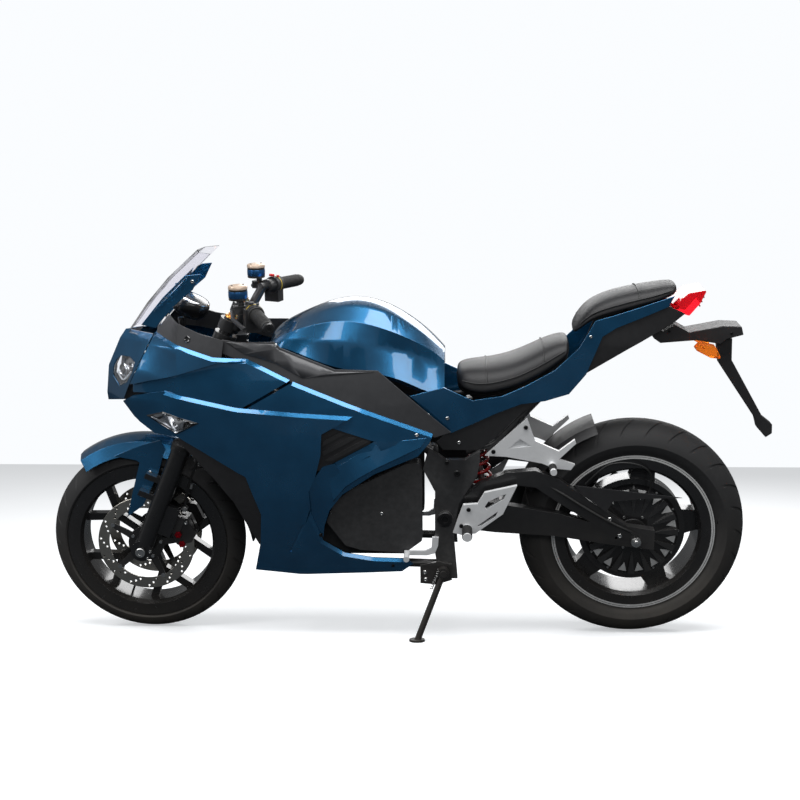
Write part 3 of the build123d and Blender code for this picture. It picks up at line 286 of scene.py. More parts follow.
def finish(name, dark, light, rough, metal=0.0, grain=900.0, bump=0.05, coat=0.0, coatRough=0.05,
           dust=0.0, rub=0.0, rubColour=(0.2, 0.2, 0.2), axle=None):
    # One moulded, painted or cast skin; the wide noise mixes its two colours and roughnesses
    material, tree, shader = newMaterial(name)
    skin = addNode(tree, "Group", node_tree=skinGrain, Scale=grain, Ripple=surfaceLook["ripple"])
    tone, height = skin.outputs["Tone"], skin.outputs["Height"]
    if axle:
        height = addNode(tree, "Group", node_tree=turnedRings, Centre=axle).outputs["Rings"]
    colour = mixColour(tree, height if axle else tone, dark, light)
    if dust:
        dirt = addNode(tree, "Group", node_tree=roadDust).outputs["Mask"]
        colour = mixColour(tree, mathNode(tree, "MULTIPLY", dirt, dust), colour, surfaceLook["dust"])
    # sharp edges get a lighter colour: a painted edge highlight, with some wear
    if rub:
        litAndWorn = addNode(tree, "Group", node_tree=edgeHighlightAndWear, Amount=rub).outputs["Mask"]
        colour = mixColour(tree, litAndWorn, colour, rubColour)
    fill(tree, shader, {"Base Color": colour, "Roughness": setRange(tree, tone, *rough), "Metallic": metal,
                        "Coat Weight": coat, "Coat Roughness": coatRough})
    if bump:
        feed(tree, shader.inputs["Normal"], reliefFrom(tree, height, bump))
    return material


paintLook = {"deep": ((0.006, 0.085, 0.20), (0.010, 0.115, 0.26)), "flake": (0.030, 0.20, 0.42),
             "edgeOn": (0.004, 0.045, 0.10), "metal": 0.82, "rough": (0.22, 0.30), "lacquer": 0.035,
             "peel": 0.03}


def makePaint():
    # Metallic azure under clear lacquer: flakes shift the tone, the lacquer has a faint orange peel
    material, tree, shader = newMaterial("bluePaint")
    skin = addNode(tree, "Group", node_tree=skinGrain, Scale=2600.0, Ripple=14.0)
    tone = skin.outputs["Tone"]
    deep = mixColour(tree, tone, *paintLook["deep"])
    flakes = mixColour(tree, setRange(tree, skin.outputs["Height"], -0.5, 1.5), deep, paintLook["flake"])
    facing = addNode(tree, "LayerWeight", Blend=0.35).outputs["Facing"]
    fill(tree, shader, {"Base Color": mixColour(tree, facing, flakes, paintLook["edgeOn"]),
                        "Metallic": paintLook["metal"], "Roughness": setRange(tree, tone, *paintLook["rough"]),
                        "Coat Weight": 1.0, "Coat Roughness": paintLook["lacquer"],
                        "Coat Normal": reliefFrom(tree, tone, paintLook["peel"])})
    return material


def makeClear(name, tint, rough, ior, haze):
    material, tree, shader = newMaterial(name)
    tone = addNode(tree, "Group", node_tree=skinGrain, Scale=300.0, Ripple=18.0).outputs["Tone"]
    shade = tuple(c * 0.97 for c in tint)
    fill(tree, shader, {"Base Color": mixColour(tree, tone, shade, tint), "IOR": ior,
                        "Roughness": setRange(tree, tone, rough, rough + 0.03),
                        "Transmission Weight": 1.0 - haze})
    return material


vinylLook = {"base": ((0.006, 0.006, 0.007), (0.012, 0.012, 0.014)), "crease": (0.006, 0.006, 0.007),
             "rough": (0.40, 0.54), "shine": 0.32, "coat": 0.05, "relief": (0.35, 0.0004)}


def makeVinyl():
    material, tree, shader = newMaterial("seatVinyl")
    pebble = addNode(tree, "Group", node_tree=vinylPebble, Scale=620.0)
    tone = addNode(tree, "Group", node_tree=skinGrain, Scale=260.0, Ripple=16.0).outputs["Tone"]
    base = mixColour(tree, tone, *vinylLook["base"])
    # the creases between the pebbles are darkened: painted shade
    fill(tree, shader, {"Base Color": mixColour(tree, pebble.outputs["CreaseShade"], base, vinylLook["crease"]),
                        "Roughness": setRange(tree, tone, *vinylLook["rough"]),
                        "Specular IOR Level": vinylLook["shine"], "Coat Weight": vinylLook["coat"],
                        "Coat Roughness": 0.3,
                        "Normal": reliefFrom(tree, pebble.outputs["Height"], *vinylLook["relief"])})
    return material


clearLooks = {
    # slot, tint, roughness, index of refraction, and how much is held back
    "screenClear": ("clear", (0.93, 0.92, 0.96), 0.0, 1.35, 0.0),
    "lensClear": ("clear", (0.97, 0.98, 1.0), 0.01, 1.45, 0.0),
    "redLens": ("red_lens", (0.85, 0.01, 0.02), 0.05, 1.45, 0.35),
    "orangeLens": ("red_lens", (0.95, 0.25, 0.02), 0.06, 1.45, 0.35),
}
finishes = {
    # slot, dark colour, light colour, roughness from and to, and what else the finish has
    "trimBlack": ("trim", (0.014, 0.014, 0.015), (0.020, 0.020, 0.022), (0.42, 0.55),
                  {"bump": 0.25, "rub": 0.25}),
    "trimGrey": ("trim", (0.030, 0.031, 0.034), (0.042, 0.043, 0.047), (0.40, 0.52),
                 {"bump": 0.3, "rub": 0.3}),
    # lighter grey for the tops of the tank side trims: a painted highlight
    "trimSatin": ("trim", (0.050, 0.051, 0.055), (0.066, 0.067, 0.072), (0.34, 0.44),
                  {"bump": 0.3, "rub": 0.3}),
    "glossBlack": ("trim", (0.006, 0.006, 0.007), (0.009, 0.009, 0.010), (0.06, 0.12),
                   {"coat": 1.0, "bump": 0.0}),
    "domeBlack": ("trim", (0.007, 0.007, 0.008), (0.011, 0.011, 0.012), (0.24, 0.34),
                  {"coat": 0.35, "coatRough": 0.16}),
    "frameBlack": ("black_metal", (0.010, 0.010, 0.011), (0.016, 0.016, 0.017), (0.30, 0.42),
                   {"coat": 0.25, "coatRough": 0.2, "bump": 0.08, "grain": 380.0, "dust": 0.25, "rub": 0.4}),
    "castGrey": ("black_metal", (0.030, 0.031, 0.033), (0.046, 0.047, 0.050), (0.42, 0.55),
                 {"metal": 0.35, "bump": 0.3, "grain": 520.0, "rub": 0.5}),
    "forkBlack": ("black_metal", (0.009, 0.009, 0.010), (0.014, 0.014, 0.015), (0.24, 0.34),
                  {"coat": 0.4, "coatRough": 0.12}),
    "satinBlack": ("black_metal", (0.012, 0.012, 0.013), (0.022, 0.022, 0.023), (0.30, 0.42),
                   {"metal": 0.6, "bump": 0.08}),
    "wheelBlack": ("wheel_black", (0.008, 0.008, 0.009), (0.013, 0.013, 0.014), (0.22, 0.30),
                   {"coat": 0.5, "coatRough": 0.1, "bump": 0.04, "dust": 0.15, "rub": 0.3}),
    "tyreRubber": ("tyre", (0.016, 0.016, 0.017), (0.026, 0.026, 0.027), (0.62, 0.78),
                   {"bump": 0.3, "grain": 700.0, "dust": 0.35}),
    "gripRubber": ("rubber", (0.010, 0.010, 0.010), (0.017, 0.017, 0.017), (0.55, 0.68), {"bump": 0.3}),
    "hoseRubber": ("rubber", (0.010, 0.010, 0.010), (0.018, 0.018, 0.018), (0.40, 0.5), {"bump": 0.1}),
    "castSilver": ("silver", (0.74, 0.75, 0.76), (0.84, 0.85, 0.86), (0.30, 0.42),
                   {"metal": 0.2, "bump": 0.2, "grain": 420.0, "rub": 0.2, "rubColour": (0.9, 0.9, 0.9)}),
    "rimSilver": ("silver", (0.66, 0.66, 0.65), (0.76, 0.76, 0.75), (0.22, 0.32),
                  {"metal": 0.25, "coat": 0.5}),
    "silverPlastic": ("silver", (0.55, 0.56, 0.58), (0.66, 0.67, 0.69), (0.12, 0.2),
                      {"metal": 0.95, "bump": 0.0}),
    "goldAnodised": ("silver", (0.72, 0.34, 0.08), (0.82, 0.42, 0.12), (0.22, 0.32), {"metal": 1.0}),
    "blueAnodised": ("silver", (0.03, 0.13, 0.34), (0.05, 0.18, 0.42), (0.24, 0.32), {"metal": 0.9}),
    "capCream": ("silver", (0.56, 0.43, 0.33), (0.66, 0.52, 0.41), (0.26, 0.36),
                 {"metal": 0.35, "bump": 0.1}),
    "amberMark": ("silver", (0.72, 0.50, 0.03), (0.80, 0.58, 0.05), (0.35, 0.45), {}),
    "brightSteel": ("steel", (0.62, 0.62, 0.61), (0.78, 0.78, 0.77), (0.16, 0.28), {"metal": 1.0}),
    "satinSteel": ("steel", (0.36, 0.36, 0.36), (0.50, 0.50, 0.49), (0.32, 0.45),
                   {"metal": 1.0, "bump": 0.1}),
    "discFront": ("steel", (0.50, 0.47, 0.42), (0.66, 0.63, 0.57), (0.24, 0.34),
                  {"metal": 1.0, "bump": 0.1, "axle": tuple(frontWheelToRow.translation)}),
    "discRear": ("steel", (0.50, 0.47, 0.42), (0.66, 0.63, 0.57), (0.24, 0.34),
                 {"metal": 1.0, "bump": 0.1, "axle": tuple(rearWheelToRow.translation)}),
    "springRed": ("spring_red", (0.36, 0.010, 0.012), (0.46, 0.016, 0.016), (0.28, 0.36), {"coat": 0.6}),
    "redAnodised": ("spring_red", (0.42, 0.008, 0.020), (0.55, 0.015, 0.030), (0.24, 0.32), {"metal": 0.9}),
    "redPlastic": ("spring_red", (0.50, 0.012, 0.012), (0.62, 0.02, 0.02), (0.30, 0.4), {"coat": 0.3}),
    "pipingVinyl": ("seat", (0.008, 0.008, 0.009), (0.014, 0.014, 0.015), (0.40, 0.52), {"bump": 0.2}),
    "threadGrey": ("seat", (0.030, 0.030, 0.032), (0.050, 0.050, 0.052), (0.60, 0.75), {"bump": 0.2}),
    "lampWhite": ("clear", (0.72, 0.74, 0.78), (0.80, 0.82, 0.85), (0.20, 0.3), {"bump": 0.0}),
    "redGlow": ("red_lens", (0.55, 0.01, 0.015), (0.70, 0.02, 0.02), (0.20, 0.3), {"bump": 0.0}),
}
looks = {"bluePaint": makePaint(), "seatVinyl": makeVinyl()}
slotOf = {"bluePaint": "paint", "seatVinyl": "seat"}
for lookName, (slotOf[lookName], *lookValues) in clearLooks.items():
    looks[lookName] = makeClear(lookName, *lookValues)
for lookName, (slotOf[lookName], *lookValues, lookMore) in finishes.items():
    looks[lookName] = finish(lookName, *lookValues, **lookMore)
print("materials are made")


# Piece builders
def sided(point, side):
    return Vector((point[0], point[1] * side, point[2]))


def around(radius, turn, y=0.0):
    # A point about an axle along Y, turned from the top
    return Vector((radius * math.sin(turn), y, radius * math.cos(turn)))


def newMeshes(count):
    return [bmesh.new() for k in range(count)]


def meshOf(bm, name="part"):
    mesh = bpy.data.meshes.new(name)
    bm.to_mesh(mesh)
    bm.free()
    return mesh


def appendPart(bm, part):
    mesh = meshOf(part)
    bm.from_mesh(mesh)
    bpy.data.meshes.remove(mesh)


def standAt(place, direction):
    turn = Vector(direction).to_track_quat("Z", "Y").to_matrix().to_4x4()
    return Matrix.Translation(Vector(place)) @ turn


def addBar(bm, start, end, radius, endRadius=None, sides=20):
    a, b = Vector(start), Vector(end)
    bmesh.ops.create_cone(bm, cap_ends=True, segments=sides, radius1=radius, radius2=endRadius or radius,
                          depth=(b - a).length, matrix=standAt((a + b) / 2, b - a))


def addPrism(bm, points, along):
    face = bm.faces.new([bm.verts.new(p) for p in points])
    grown = bmesh.ops.extrude_face_region(bm, geom=[face], use_keep_orig=True)
    top = [v for v in grown["geom"] if isinstance(v, bmesh.types.BMVert)]
    bmesh.ops.translate(bm, verts=top, vec=along)


def addPlate(bm, outline, yFrom, yTo):
    addPrism(bm, [(x, yFrom, z) for x, z in outline], (0, yTo - yFrom, 0))


def spinProfile(bm, points, axis, steps):
    verts = [bm.verts.new(p) for p in points]
    edges = [bm.edges.new(pair) for pair in zip(verts, verts[1:])]
    bmesh.ops.spin(bm, geom=verts + edges, cent=(0, 0, 0), axis=axis, angle=2 * math.pi, steps=steps,
                   use_merge=True)


def addTurned(bm, profile, centre=(0, 0, 0), direction=(0, 1, 0), steps=48):
    # profile holds radius and height along the direction
    part = bmesh.new()
    spinProfile(part, [(r, 0, h) for r, h in profile], (0, 0, 1), steps)
    bmesh.ops.remove_doubles(part, verts=part.verts, dist=1e-4)
    part.transform(standAt(centre, direction))
    appendPart(bm, part)


def tubeProfile(inner, outer, low, high):
    return [(inner, low), (inner, high), (outer, high), (outer, low), (inner, low)]


def addLoft(bm, sections):
    # A closed body through a row of closed sections
    rings = []
    for section in sections:
        ring = [bm.verts.new(p) for p in section]
        rings.append([bm.edges.new(pair) for pair in zip(ring, ring[1:] + ring[:1])])
    for low, high in zip(rings, rings[1:]):
        bmesh.ops.bridge_loops(bm, edges=low + high)
    for ring in (rings[0], rings[-1]):
        bmesh.ops.contextual_create(bm, geom=ring)


def addHose(bm, points, radius, smoothSteps=8, sides=3):
    curve = bpy.data.curves.new("run", "CURVE")
    curve.dimensions = "3D"
    curve.bevel_depth = radius
    curve.bevel_resolution = sides
    curve.resolution_u = smoothSteps
    curve.use_fill_caps = True
    line = curve.splines.new("NURBS")
    line.points.add(len(points) - 1)
    for point, where in zip(line.points, points):
        point.co = (*where, 1)
    line.order_u = 3
    line.use_endpoint_u = True
    holder = bpy.data.objects.new("run", curve)
    mesh = bpy.data.meshes.new_from_object(holder)
    bm.from_mesh(mesh)
    bpy.data.meshes.remove(mesh)
    bpy.data.objects.remove(holder)
    bpy.data.curves.remove(curve)


def coilPoints(low, axis, flank, radius, length, count, perTurn):
    other = axis.cross(flank)
    turns = [(k / count, 2 * math.pi * k / perTurn) for k in range(count + 1)]
    return [low + axis * length * share + (flank * math.cos(a) + other * math.sin(a)) * radius
            for share, a in turns]


def addModifier(piece, name, kind, **values):
    modifier = piece.modifiers.new(name, kind)
    for key, value in values.items():
        setattr(modifier, key, value)


def carve(bm, cutter):
    # The first mesh less the second
    holders = []
    for source in (bm, cutter):
        bmesh.ops.recalc_face_normals(source, faces=source.faces)
        holders.append(addToScene("carved", meshOf(source)))
    addModifier(holders[0], "cut", "BOOLEAN", object=holders[1], operation="DIFFERENCE", solver="EXACT")
    bpy.context.view_layer.update()
    result = bpy.data.meshes.new_from_object(holders[0].evaluated_get(bpy.context.evaluated_depsgraph_get()))
    done = bmesh.new()
    done.from_mesh(result)
    bpy.data.meshes.remove(result)
    for holder in holders:
        mesh = holder.data
        bpy.data.objects.remove(holder)
        bpy.data.meshes.remove(mesh)
    return done


edgeLook = {"segments": 2, "limit": 38}


def makePiece(name, bm, look, body, replaced=(), toRow=bikeToRow, smooth=35, bevel=0.0, subsurf=0,
              heal=True, thick=0.0, slotName=None):
    # bevel and thick are in millimetres; look is one of looks, or a list of them
    bm.transform(toRow)
    if heal:
        bmesh.ops.remove_doubles(bm, verts=bm.verts, dist=1e-6)
        bmesh.ops.recalc_face_normals(bm, faces=bm.faces)
    for face in bm.faces:
        face.smooth = True
    for edge in bm.edges:
        edge.smooth = edge.calc_face_angle(0) < math.radians(smooth)
    mesh = meshOf(bm, name)
    piece = addToScene(name, mesh)
    lookNames = [look] if isinstance(look, str) else look
    for one in lookNames:
        mesh.materials.append(looks[one])
    slotName = slotName or slotOf[lookNames[0]]
    if subsurf:
        addModifier(piece, "rounding", "SUBSURF", levels=subsurf, render_levels=subsurf)
    if thick:
        addModifier(piece, "wall", "SOLIDIFY", thickness=thick / 1000, offset=1)
    if bevel:
        addModifier(piece, "edgeCut", "BEVEL", width=bevel / 1000, segments=edgeLook["segments"],
                    limit_method="ANGLE", angle_limit=math.radians(edgeLook["limit"]), harden_normals=True)
    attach(piece, body)
    if replaced:
        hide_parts(*replaced)
    return piece


def copyOfNode(node):
    # A merged copy of a CAD node's triangles, in the row frame
    bm = bmesh.new()
    bm.from_mesh(cadNodes[node].data)
    bmesh.ops.remove_doubles(bm, verts=bm.verts, dist=2e-5)
    bmesh.ops.dissolve_degenerate(bm, edges=bm.edges, dist=1e-6)
    return bm


def joinFlats(bm):
    bmesh.ops.dissolve_limit(bm, angle_limit=math.radians(0.6), verts=bm.verts, edges=bm.edges)


def makeDressed(name, bm, look, node, bevel, slotName=None):
    # A CAD node's copy is in the row frame already, with its normals right
    return makePiece(name, bm, look, cadNodes[node]["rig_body"], (node,), Matrix.Identity(4), 28, bevel,
                     heal=False, slotName=slotName)


def dressNode(node, look, bevel, slotName=None, choose=None):
    # choose gives a face's material number from its middle, in bike millimetres
    bm = copyOfNode(node)
    joinFlats(bm)
    if choose:
        for face in bm.faces:
            face.material_index = choose(rowToBike @ face.calc_center_median())
    return makeDressed(node + "Dressed", bm, look, node, bevel, slotName)


surfaceTrees = {}


def surfaceAt(node, x, z, side):
    # Where a line along the bike's Y first meets a CAD node from that side: the point and its normal
    if node not in surfaceTrees:
        bm = copyOfNode(node)
        surfaceTrees[node] = BVHTree.FromBMesh(bm)
        bm.free()
    start, inside = inBike(x, side * 400, z), inBike(x, 0, z)
    where, normal = surfaceTrees[node].ray_cast(start, (inside - start).normalized())[:2]
    if where is None:
        return None, None
    outward = (rowToBike.to_3x3() @ normal).normalized()
    return rowToBike @ where, outward if outward.y * side > 0 else -outward


def addBolt(bm, where, outward, radius, height, socket=True):
    # A round head with a hexagon socket, or a plain hexagon head
    if socket:
        profile = [(0.01, height * 0.35), (radius * 0.5, height * 0.35), (radius * 0.52, height),
                   (radius * 0.86, height), (radius, height * 0.72), (radius, -0.5)]
        addTurned(bm, profile, where, outward, 18)
    else:
        foot, along = Vector(where), Vector(outward)
        addBar(bm, foot - along * 0.5, foot + along * height, radius, radius * 0.94, 6)


def boltOnto(bm, node, x, z, side, radius, height, facing=0.0):
    where, outward = surfaceAt(node, x, z, side)
    if where and abs(outward.y) > facing:
        addBolt(bm, where, outward, radius, height)


def addPatch(bm, node, outline, side, lift):
    # A thin sheet that follows a CAD node's surface inside an outline
    part = bmesh.new()
    part.faces.new([part.verts.new((x, 0, z)) for x, z in outline])
    bmesh.ops.triangulate(part, faces=part.faces)
    for turn in range(3):
        bmesh.ops.subdivide_edges(part, edges=part.edges, cuts=1)
    for vert in part.verts:
        point, outward = surfaceAt(node, vert.co.x, vert.co.z, side)
        if point:
            vert.co = point + Vector((0, side, 0)) * lift
    missed = [v for v in part.verts if abs(v.co.y) < 1]
    bmesh.ops.delete(part, geom=missed, context="VERTS")
    bmesh.ops.recalc_face_normals(part, faces=part.faces)
    if part.faces and part.faces[0].normal.y * side < 0:
        bmesh.ops.reverse_faces(part, faces=part.faces)
    appendPart(bm, part)


dressed = {
    # look, bevel in mm, and a slot where it isn't the look's own
    "main_frame": ("frameBlack", 0),
    "rear_subframe": ("frameBlack", 0),
    "battery_case": ("castGrey", 2.0),
    "battery_side_covers": ("trimBlack", 1.5),
    "swing_arm": ("frameBlack", 1.5),
    "rear_axles": ("satinSteel", 0.8),
    "rear_guards": ("trimBlack", 0.8),
    "rear_shock": ("satinSteel", 0.8, "black_metal"),
    "tank_cover": ("bluePaint", 2.5),
    "tank_side_trims": ("trimGrey", 0.9),
    "nose_cowl": ("bluePaint", 1.0),
    "upper_fairings": ("bluePaint", 1.0),
    "lower_fairings": ("bluePaint", 1.0),
    "fairing_vents": ("trimBlack", 0.8),
    "fairing_liner": ("trimBlack", 0.8),
    "front_lamps": ("lensClear", 0.8),
    "windscreen": ("screenClear", 0.8),
    "tail_cowls": ("bluePaint", 1.0),
    "tail_undertrays": ("trimBlack", 0.9),
    "plate_carrier": ("trimBlack", 2.0),
    "rear_caliper": ("frameBlack", 1.2),
    "stand_bracket": ("frameBlack", 0.8),
    "fork_legs": ("forkBlack", 0.9),
    "fork_yokes": ("frameBlack", 1.2),
    "clip_on_bars": ("frameBlack", 0.9),
    "grips": ("gripRubber", 1.0),
    "switchgear": ("trimBlack", 2.0),
    "brake_levers": ("frameBlack", 1.2),
    "front_fender": ("bluePaint", 0.9),
    "front_calipers": ("frameBlack", 1.5),
    "front_rim": ("wheelBlack", 1.5),
    "rear_rim": ("wheelBlack", 1.5),
    "hub_motor": ("wheelBlack", 1.2),
    "side_stand": ("frameBlack", 1.0),
}
for nodeName, nodeValues in dressed.items():
    dressNode(nodeName, *nodeValues)
dressNode("rear_lamps", ["redLens", "orangeLens"], 1.0, choose=lambda at: int(at.z < 900))
print("CAD pieces are dressed")


# Wheels
tyreShape = {
    "columns": (0.0, 0.30, 0.345, 0.375, 0.435, 0.465, 0.51, 0.78), "grooved": (3, 4), "sectors": 26,
    "depth": 4.0, "slant": 0.85, "from": 0.16, "to": 0.90, "fade": 0.12,
    "beads": (217, 228), "wall": 234, "wallSteps": 5, "bulge": 2.2, "lineAt": 2, "arcs": 26,
    "front": {"outer": 281, "width": 110, "crown": 55, "rim": 89},
    "rear": {"outer": 321, "width": 150, "crown": 75, "rim": 114},
}


def makeTyre(kind, toRow):
    # A spun tyre whose columns are drawn together round each slash, then pressed in
    size, columns = tyreShape[kind], tyreShape["columns"]
    crown, beadY, shoulderY = size["crown"], size["rim"] / 2 - 0.3, size["width"] / 2 * 0.97
    centre = size["outer"] - crown
    shoulderR = centre + math.sqrt(crown ** 2 - shoulderY ** 2)
    (beadLow, beadHigh), wallR, wallSteps = tyreShape["beads"], tyreShape["wall"], tyreShape["wallSteps"]
    wall = [(beadLow, -beadY + 3), (beadLow, -beadY), (beadHigh, -beadY - 0.4), (wallR, -beadY - 1.2)]
    for k in range(1, wallSteps):
        share, line = k / wallSteps, k == tyreShape["lineAt"]
        r = wallR + (shoulderR - wallR) * share
        y = beadY + (shoulderY - beadY) * share + tyreShape["bulge"] * math.sin(math.pi * share)
        wall.append((r - 0.6 * line, -y - 0.9 * line))
    start, arcs = math.asin(shoulderY / crown), tyreShape["arcs"]
    angles = [-start + 2 * start * k / arcs for k in range(arcs + 1)]
    arc = [(centre + crown * math.cos(a), crown * math.sin(a)) for a in angles]
    profile = wall + arc + [(r, -y) for r, y in reversed(wall)]
    steps, sector = tyreShape["sectors"] * len(columns), 2 * math.pi / tyreShape["sectors"]
    bm = bmesh.new()
    spinProfile(bm, [(r, y, 0) for r, y in profile], (0, 1, 0), steps)
    for vert in bm.verts:
        r = math.hypot(vert.co.x, vert.co.z)
        index = round(math.atan2(vert.co.z, vert.co.x) / (2 * math.pi) * steps) % steps
        whole, column = divmod(index, len(columns))
        across = abs(vert.co.y) / shoulderY
        tread = r > shoulderR + 1
        angle = (whole + columns[column]) * sector
        angle += sector * tyreShape["slant"] * across if r > wallR else 0
        if vert.co.y > 0:
            angle += sector * 0.5
        inGroove = min(across - tyreShape["from"], tyreShape["to"] - across)
        if tread and column in tyreShape["grooved"] and inGroove > 0:
            r -= tyreShape["depth"] * min(inGroove / tyreShape["fade"], 1)
        vert.co.x, vert.co.z = r * math.cos(angle), r * math.sin(angle)
    makePiece(kind + "TyreTread", bm, "tyreRubber", kind + "_wheel", (kind + "_tyre",), toRow, smooth=32)


discShape = {
    "thick": 4.5, "hole": 3.4, "rows": 3, "groups": 15, "bobbin": 6.5, "arms": 5, "firstArm": 12, "inset": 0.3,
    "front": {"name": "frontBrakeBands", "node": "front_discs", "look": "discFront", "sides": (-1, 1),
              "y": 61.25, "outer": 140, "inner": 108, "hub": 52, "bore": 22},
    "rear": {"name": "rearBrakeBand", "node": "rear_disc", "look": "discRear", "sides": (1,),
             "y": 80, "outer": 110, "inner": 82, "hub": 44, "bore": 26},
}


def makeDisc(kind, toRow):
    # Drilled brake bands on a black carrier, with steel bobbins where they meet
    size = discShape[kind]
    name, outer, inner, hub = (size[key] for key in ("name", "outer", "inner", "hub"))
    half, inset = discShape["thick"] / 2, discShape["inset"]
    band, carrier, buttons = newMeshes(3)
    for side in size["sides"]:
        at = side * size["y"]
        rim, drills = newMeshes(2)
        addTurned(rim, [(inner, at - half), (inner, at + half), (outer - 0.6, at + half),
                        (outer, at + half - 0.6), (outer, at - half + 0.6), (outer - 0.6, at - half),
                        (inner, at - half)], steps=96)
        for k in range(discShape["groups"] * discShape["rows"]):
            group, row = divmod(k, discShape["rows"])
            angle = 2 * math.pi * (group + row * 0.24) / discShape["groups"]
            r = inner + (outer - inner) * (0.24 + 0.26 * row)
            addBar(drills, around(r, angle, at - 5), around(r, angle, at + 5), discShape["hole"], sides=10)
        appendPart(band, carve(rim, drills))
        addTurned(carrier, tubeProfile(size["bore"], hub, at - half + inset, at + half - inset))
        for k in range(discShape["arms"]):
            angle = math.radians(discShape["firstArm"] + 360 / discShape["arms"] * k)
            out, flank = around(1, angle), around(1, angle + math.pi / 2)
            low = Vector((0, at - half + inset, 0))
            addPrism(carrier, [low + out * (hub - 3) - flank * 11, low + out * (inner + 3) - flank * 7,
                               low + out * (inner + 3) + flank * 7, low + out * (hub - 3) + flank * 11],
                     (0, 2 * (half - inset), 0))
            addBar(buttons, around(inner + 1, angle, at - half - 0.2), around(inner + 1, angle, at + half + 0.2),
                   discShape["bobbin"], sides=18)
            addBolt(buttons, around(hub - 9, angle, at + side * half), (0, side, 0), 5.5, 3, socket=False)
    body = kind + "_wheel"
    makePiece(name, band, size["look"], body, (size["node"],), toRow)
    makePiece(name + "Carrier", carrier, "wheelBlack", body, (), toRow, bevel=0.6)
    makePiece(name + "Buttons", buttons, "brightSteel", body, (), toRow)


hubTrim = {"wedges": 16, "inner": 97, "outer": 125, "spread": 5.6, "stripes": ((221.6, 226.2), (227.6, 231.4)),
           "stripeY": 62.05, "stripeThick": 0.6, "bolts": 12, "boltCircle": 131, "boltY": 42,
           "coverBolts": 6, "cover": 52, "coverY": 58, "spacer": (26, 40, 58, 78)}


def makeHubTrim():
    # The disc's spacer, bare wedges between the motor's ribs, the rim's stripes and the hub cover
    spacer, wedges, stripes, bolts, cap = newMeshes(5)
    addTurned(spacer, tubeProfile(*hubTrim["spacer"]))
    for k in range(hubTrim["wedges"]):
        turn, spread = 2 * math.pi * (k + 0.5) / hubTrim["wedges"], math.radians(hubTrim["spread"])
        corners = [around(hubTrim["inner"], turn, -50.6), around(hubTrim["outer"], turn - spread, -46.4),
                   around(hubTrim["outer"], turn + spread, -46.4)]
        addPrism(wedges, corners, (0, 4, 0))
    for side in (-1, 1):
        edge = hubTrim["stripeY"]
        for low, high in hubTrim["stripes"]:
            addTurned(stripes, tubeProfile(low, high, side * edge, side * (edge - hubTrim["stripeThick"])),
                      steps=120)
        for k in range(hubTrim["bolts"]):
            where = around(hubTrim["boltCircle"], 2 * math.pi * k / hubTrim["bolts"], side * hubTrim["boltY"])
            addBolt(bolts, where, (0, side, 0), 3.4, 2.6)
    for k in range(hubTrim["coverBolts"]):
        turn = 2 * math.pi * (k + 0.5) / hubTrim["coverBolts"]
        addBolt(bolts, around(hubTrim["cover"], turn, -hubTrim["coverY"]), (0, -1, 0), 4.2, 3)
    addTurned(cap, [(16, -58), (40, -58), (41, -59.5), (40, -61), (22, -61.5), (16, -60), (16, -58)])
    for name, bm, look, bevel in (("rearDiscSpacer", spacer, "wheelBlack", 0.6),
                                  ("hubWedges", wedges, "rimSilver", 0.4),
                                  ("rimStripes", stripes, "rimSilver", 0), ("hubBolts", bolts, "satinSteel", 0),
                                  ("hubCover", cap, "wheelBlack", 0)):
        makePiece(name, bm, look, "rear_wheel", (), rearWheelToRow, bevel=bevel)


valveShape = {"front": {"turn": 200, "rim": 187}, "rear": {"turn": 152, "rim": 184}}


def makeValve(kind, toRow):
    bm = bmesh.new()
    turn, rim = math.radians(valveShape[kind]["turn"]), valveShape[kind]["rim"]
    addBar(bm, around(rim + 2, turn), around(rim - 16, turn), 3.2, sides=12)
    addBar(bm, around(rim - 16, turn), around(rim - 26, turn), 4.2, 3.6, sides=12)
    makePiece(kind + "Valve", bm, "hoseRubber", kind + "_wheel", (), toRow)


wheels = {"front": frontWheelToRow, "rear": rearWheelToRow}
for makeWheelPart in (makeTyre, makeDisc, makeValve):
    for wheelKind, wheelToRow in wheels.items():
        makeWheelPart(wheelKind, wheelToRow)
makeHubTrim()
print("wheels are made")

# Spring, calipers and fork
springRun = {"low": (278, 0, 418), "high": (232, 0, 694), "from": 37, "to": 231, "turns": 7.5, "radius": 27,
             "wire": 4.8, "perTurn": 12}


def makeSpring():
    low, wire = Vector(springRun["low"]), springRun["wire"]
    axis = (Vector(springRun["high"]) - low).normalized()
    flank = axis.cross(Vector((0, 1, 0))).normalized()
    length = springRun["to"] - springRun["from"] - 2 * wire
    foot, radius = low + axis * (springRun["from"] + wire), springRun["radius"] * 1.04
    points = coilPoints(foot, axis, flank, radius, length, int(springRun["turns"] * springRun["perTurn"]),
                        springRun["perTurn"])
    bm = bmesh.new()
    addHose(bm, points, wire, 3, 3)
    makePiece("springCoil", bm, "springRed", "chassis", ("shock_spring",), smooth=60)


caliperTrim = {
    "flowers": ((-598, 321), (-590, 290)), "petals": 6, "petalCircle": 8.4,
    "bolts": ((-609, 387), (-636, 342), (-575, 356)),
    "hose": ((-576, 84, 398), (-573, 86, 424), (-562, 92, 468), (-540, 104, 520), (-508, 100, 600),
             (-470, 84, 680), (-452, 60, 730)),
    "hoseRadius": 3.6, "clipLine": ((-576, 90, 398), (-508, 100, 600)), "clips": (0.35, 0.72),
}


